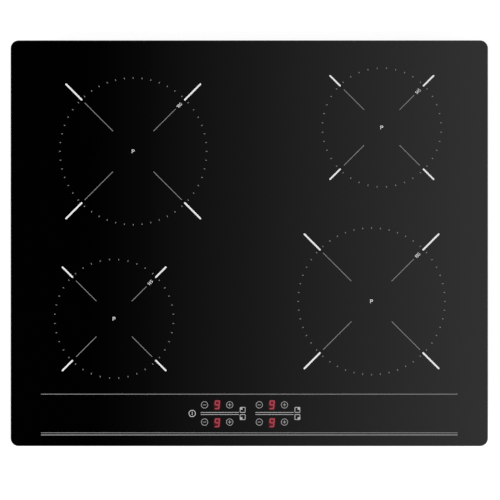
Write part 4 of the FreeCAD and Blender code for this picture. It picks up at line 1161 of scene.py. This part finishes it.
@dataclass(frozen=True)
class ScrewRecessShade:
    """Dark crosses laid on the heads of the screws that can be seen, as painted shade of their cross recesses."""

    reach: float = 2.1 * MM
    width: float = 0.75 * MM
    depth: float = 0.05 * MM
    # painted shade: a near-black finish stands for the shade inside each cross recess
    finish: Finish = Moulding("screw_recess", (0.02, 0.02, 0.02), 0.6)

    def heads(self, node: str) -> list[tuple[Vector, Vector]]:
        """Finds the middle and outward direction of each screw's head.

        Args:
            node: The screws' node.

        Returns:
            A place and a direction for each screw.
        """
        mesh = frame["nodes"][node].data
        found = []
        for island in islands(mesh):
            places = [mesh.vertices[i].co for i in island]
            low, high = (
                Vector(pick(place[axis] for place in places) for axis in range(3)) for pick in (min, max)
            )
            size = high - low
            axis = max(range(3), key=lambda a: min(abs(size[a] - size[b]) for b in range(3) if b != a))
            middle = (low + high) / 2
            out = Vector((0, 0, 0))
            out[axis] = math.copysign(1.0, middle[axis]) if axis < 2 else -1.0
            middle[axis] = high[axis] if out[axis] > 0 else low[axis]
            found.append((middle, out))
        return found

    def build(self, nodes: Sequence[str]) -> bpy.types.Object:
        """Makes every cross of painted shade as one piece.

        Args:
            nodes: The nodes of screws to mark.

        Returns:
            The new piece.
        """
        mesh = bmesh.new()
        outline = plus_sign(self.reach, self.width / 2)
        for node in nodes:
            for middle, out in self.heads(node):
                turn = out.to_track_quat("Z", "Y")
                # each cross is a thin slab across the head's surface, painted near-black as the recess's shade
                levels = (-self.depth, self.depth)
                loops = ([middle + turn @ Vector((p.x, p.y, z)) for p in outline] for z in levels)
                prism(mesh, *loops)
        return finished_piece("screw_crosses", mesh, self.finish.material())


class CoilSprings:
    """The leaf springs under each coil, copied as they stand; in the hob they flatten as a pan's weight presses
    the coil down.
    """

    joint_ending: str = "_float"

    def build(self, finish: bpy.types.Material) -> list[bpy.types.Object]:
        """Makes the springs of every coil.

        Args:
            finish: The springs' material.

        Returns:
            The new pieces.
        """
        made = []
        for joint in frame["joints"]:
            if not joint["name"].endswith(self.joint_ending):
                continue
            zone = joint["name"].removeprefix("coil_").removesuffix(self.joint_ending)
            node = "coil_springs_" + zone
            piece = place_object("springs_" + zone, frame["nodes"][node].data.copy())
            dress(piece, finish)
            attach(piece, HOB)
            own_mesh(piece)
            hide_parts(node)
            made.append(piece)
        return made


def islands(mesh: bpy.types.Mesh, steps: float = 1e5) -> list[set[int]]:
    """Groups a mesh's vertices into its separate solids.

    Args:
        mesh: The mesh.
        steps: Rounding steps per metre; corners on one step are one.

    Returns:
        A set of vertex numbers for each solid.
    """
    parent = list(range(len(mesh.vertices)))
    at: dict[tuple[int, int, int], int] = {}

    def root(i: int) -> int:
        """Finds the vertex that stands for another's group.

        Args:
            i: A vertex's number.

        Returns:
            The number of its group's vertex.
        """
        while parent[i] != i:
            parent[i] = parent[parent[i]]
            i = parent[i]
        return i

    for vertex in mesh.vertices:
        key = tuple(round(part * steps) for part in vertex.co)
        parent[root(vertex.index)] = root(at.setdefault(key, vertex.index))
    for edge in mesh.edges:
        parent[root(edge.vertices[0])] = root(edge.vertices[1])
    groups: dict[int, set[int]] = {}
    for vertex in mesh.vertices:
        groups.setdefault(root(vertex.index), set()).add(vertex.index)
    return list(groups.values())


def dress(piece: bpy.types.Object, finish: bpy.types.Material) -> None:
    """Puts one material on every slot of a node.

    Args:
        piece: The node's object.
        finish: The material.
    """
    for slot in piece.material_slots:
        slot.material = finish


class Frame:
    """The nodes that keep the frame's own shape and only take a finish."""

    def build(self) -> int:
        """Dresses every node but the glass by its slot in the record.

        Returns:
            How many nodes were dressed.
        """
        made = {look.name.lower(): look.value.material() for look in Look}
        dressed = 0
        for part in frame["record"]["subparts"]:
            slot = part["material_slot"]
            if slot in made:
                dress(frame["nodes"][part["node"]], made[slot])
                dressed += 1
        return dressed


# ---- studio


@dataclass(frozen=True)
class Studio:
    """A white table under a wide soft sky with a dark stripe, and a camera straight above."""

    distance: float = 2.094
    lens: float = 120.0
    sensor: float = 36.0
    offset: Point = (0.92 * MM, -8.52 * MM)
    table_size: float = 12.0
    table_drop: float = 0.2 * MM
    glow: float = 0.84
    shade: float = 0.38
    # Each stop of the stripe is a lean to +X, as a slope from straight up, and the sky's level there.
    stripe: tuple[Point, ...] = (
        (-0.9, 1.0), (-0.5, 0.2), (-0.3, 0.0), (-0.095, 0.0), (-0.065, 0.05), (0.0, 0.225),
        (0.075, 0.51), (0.134, 0.75), (0.3, 1.0),
    )
    flattest: float = 0.02
    horizon: float = 0.3
    rise: Point = (0.2, 0.9)
    bounce: float = 0.75
    key_power: float = 83.0
    key_size: float = 3.0
    key_place: tuple[float, float, float] = (-1.6, -1.9, 2.3)

    def sky(self) -> None:
        """Makes the sky: bright overhead but for a stripe, duller low down, and white to the camera."""
        world = bpy.data.worlds.new("studio_sky")
        bpy.context.scene.world = world
        world.use_nodes = True
        graph = Graph(world.node_tree)
        x, _, z = graph.axes(graph.node("ShaderNodeTexCoord").outputs["Generated"])
        lean = x / z.largest(self.flattest)
        low, high = self.stripe[0][0], self.stripe[-1][0]
        node = graph.node("ShaderNodeValToRGB")
        graph.feed(node.inputs[0], ((lean - low) / (high - low)).held())
        points = node.color_ramp.elements
        while len(points) < len(self.stripe):
            points.new(0.5)
        for point, (place, level) in zip(points, self.stripe):
            point.position = (place - low) / (high - low)
            point.color = (level, level, level, 1.0)
        above = Value(graph, node.outputs[0]) * (z.ramp(*self.rise) * (1.0 - self.horizon) + self.horizon)
        level = (z < 0.0) * self.bounce + (z > 0.0) * above
        seen = Value(graph, graph.node("ShaderNodeLightPath").outputs["Is Camera Ray"])
        back = graph.node("ShaderNodeBackground", inputs={"Color": level.largest(seen), "Strength": 1.0})
        graph.node("ShaderNodeOutputWorld", inputs={"Surface": back.outputs[0]})

    def table(self) -> None:
        """Makes the white table, which shows from above only; the low sky stands for its bounce."""
        data = bpy.data.meshes.new("table")
        half = self.table_size / 2
        corners = [(-half, -half, 0), (half, -half, 0), (half, half, 0), (-half, half, 0)]
        data.from_pydata(corners, [], [(0, 1, 2, 3)])
        made = place_object("table", data)
        made.location.z = -self.table_drop
        finish = bpy.data.materials.new("white_table")
        finish.use_nodes = True
        graph = Graph(finish.node_tree)
        rays = graph.node("ShaderNodeLightPath")
        seen, mirrored, refracted = (
            Value(graph, rays.outputs[f"Is {kind} Ray"]) for kind in ("Camera", "Glossy", "Transmission")
        )
        behind = Value(graph, graph.node("ShaderNodeNewGeometry").outputs["Backfacing"])
        shown = seen.largest(mirrored).largest(refracted) * (1.0 - behind)
        matt = graph.node("ShaderNodeBsdfDiffuse", {}, {"Color": (self.shade,) * 3})
        white = graph.node("ShaderNodeEmission", {}, {"Color": (1.0, 1.0, 1.0), "Strength": self.glow})
        both = graph.node("ShaderNodeAddShader", {}, {0: matt.outputs[0], 1: white.outputs[0]})
        clear = graph.node("ShaderNodeBsdfTransparent")
        mixed = graph.node("ShaderNodeMixShader", {}, {0: shown, 1: clear.outputs[0], 2: both.outputs[0]})
        graph.node("ShaderNodeOutputMaterial", inputs={"Surface": mixed.outputs[0]})
        data.materials.append(finish)

    def key_light(self) -> None:
        """Hangs a soft light to the front left, which the glass does not mirror."""
        light = bpy.data.lights.new("key_light", "AREA")
        light.energy = self.key_power
        light.size = self.key_size
        made = place_object("key_light", light)
        made.location = self.key_place
        made.rotation_euler = (-made.location).to_track_quat("-Z", "Y").to_euler()
        made.visible_glossy = False

    def camera(self) -> None:
        """Hangs the camera straight over the hob."""
        data = bpy.data.cameras.new("camera")
        data.lens = self.lens
        data.sensor_width = self.sensor
        made = place_object("camera", data)
        made.location = (*self.offset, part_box("glass_plate")[1].z + self.distance)
        bpy.context.scene.camera = made

    def build(self) -> None:
        """Sets up the sky, the table, the light, the camera and the plain colour transform."""
        self.sky()
        self.table()
        self.key_light()
        self.camera()
        bpy.context.scene.view_settings.view_transform = "Standard"


def main() -> None:
    """Builds the looks in order."""
    logging.basicConfig(level=logging.INFO, format="%(message)s")
    LOG.info("dressed %d nodes", Frame().build())
    zones = {
        "rear_left": LARGE_ZONE,
        "rear_right": SMALL_ZONE,
        "front_left": SMALL_ZONE,
        "front_right": LARGE_ZONE,
    }
    pieces = Cooktop(zones, PanelPrint(), SevenSegment()).build()
    # painted shade of the screws' cross recesses
    pieces.append(ScrewRecessShade().build(["casing_screws", "base_screws"]))
    pieces += CoilSprings().build(Look.SPRING_STEEL.value.material())
    for piece in pieces:
        LOG.info("built %s with %d faces", piece.name, len(piece.data.polygons))
    Studio().build()


if __name__ == "__main__":
    main()
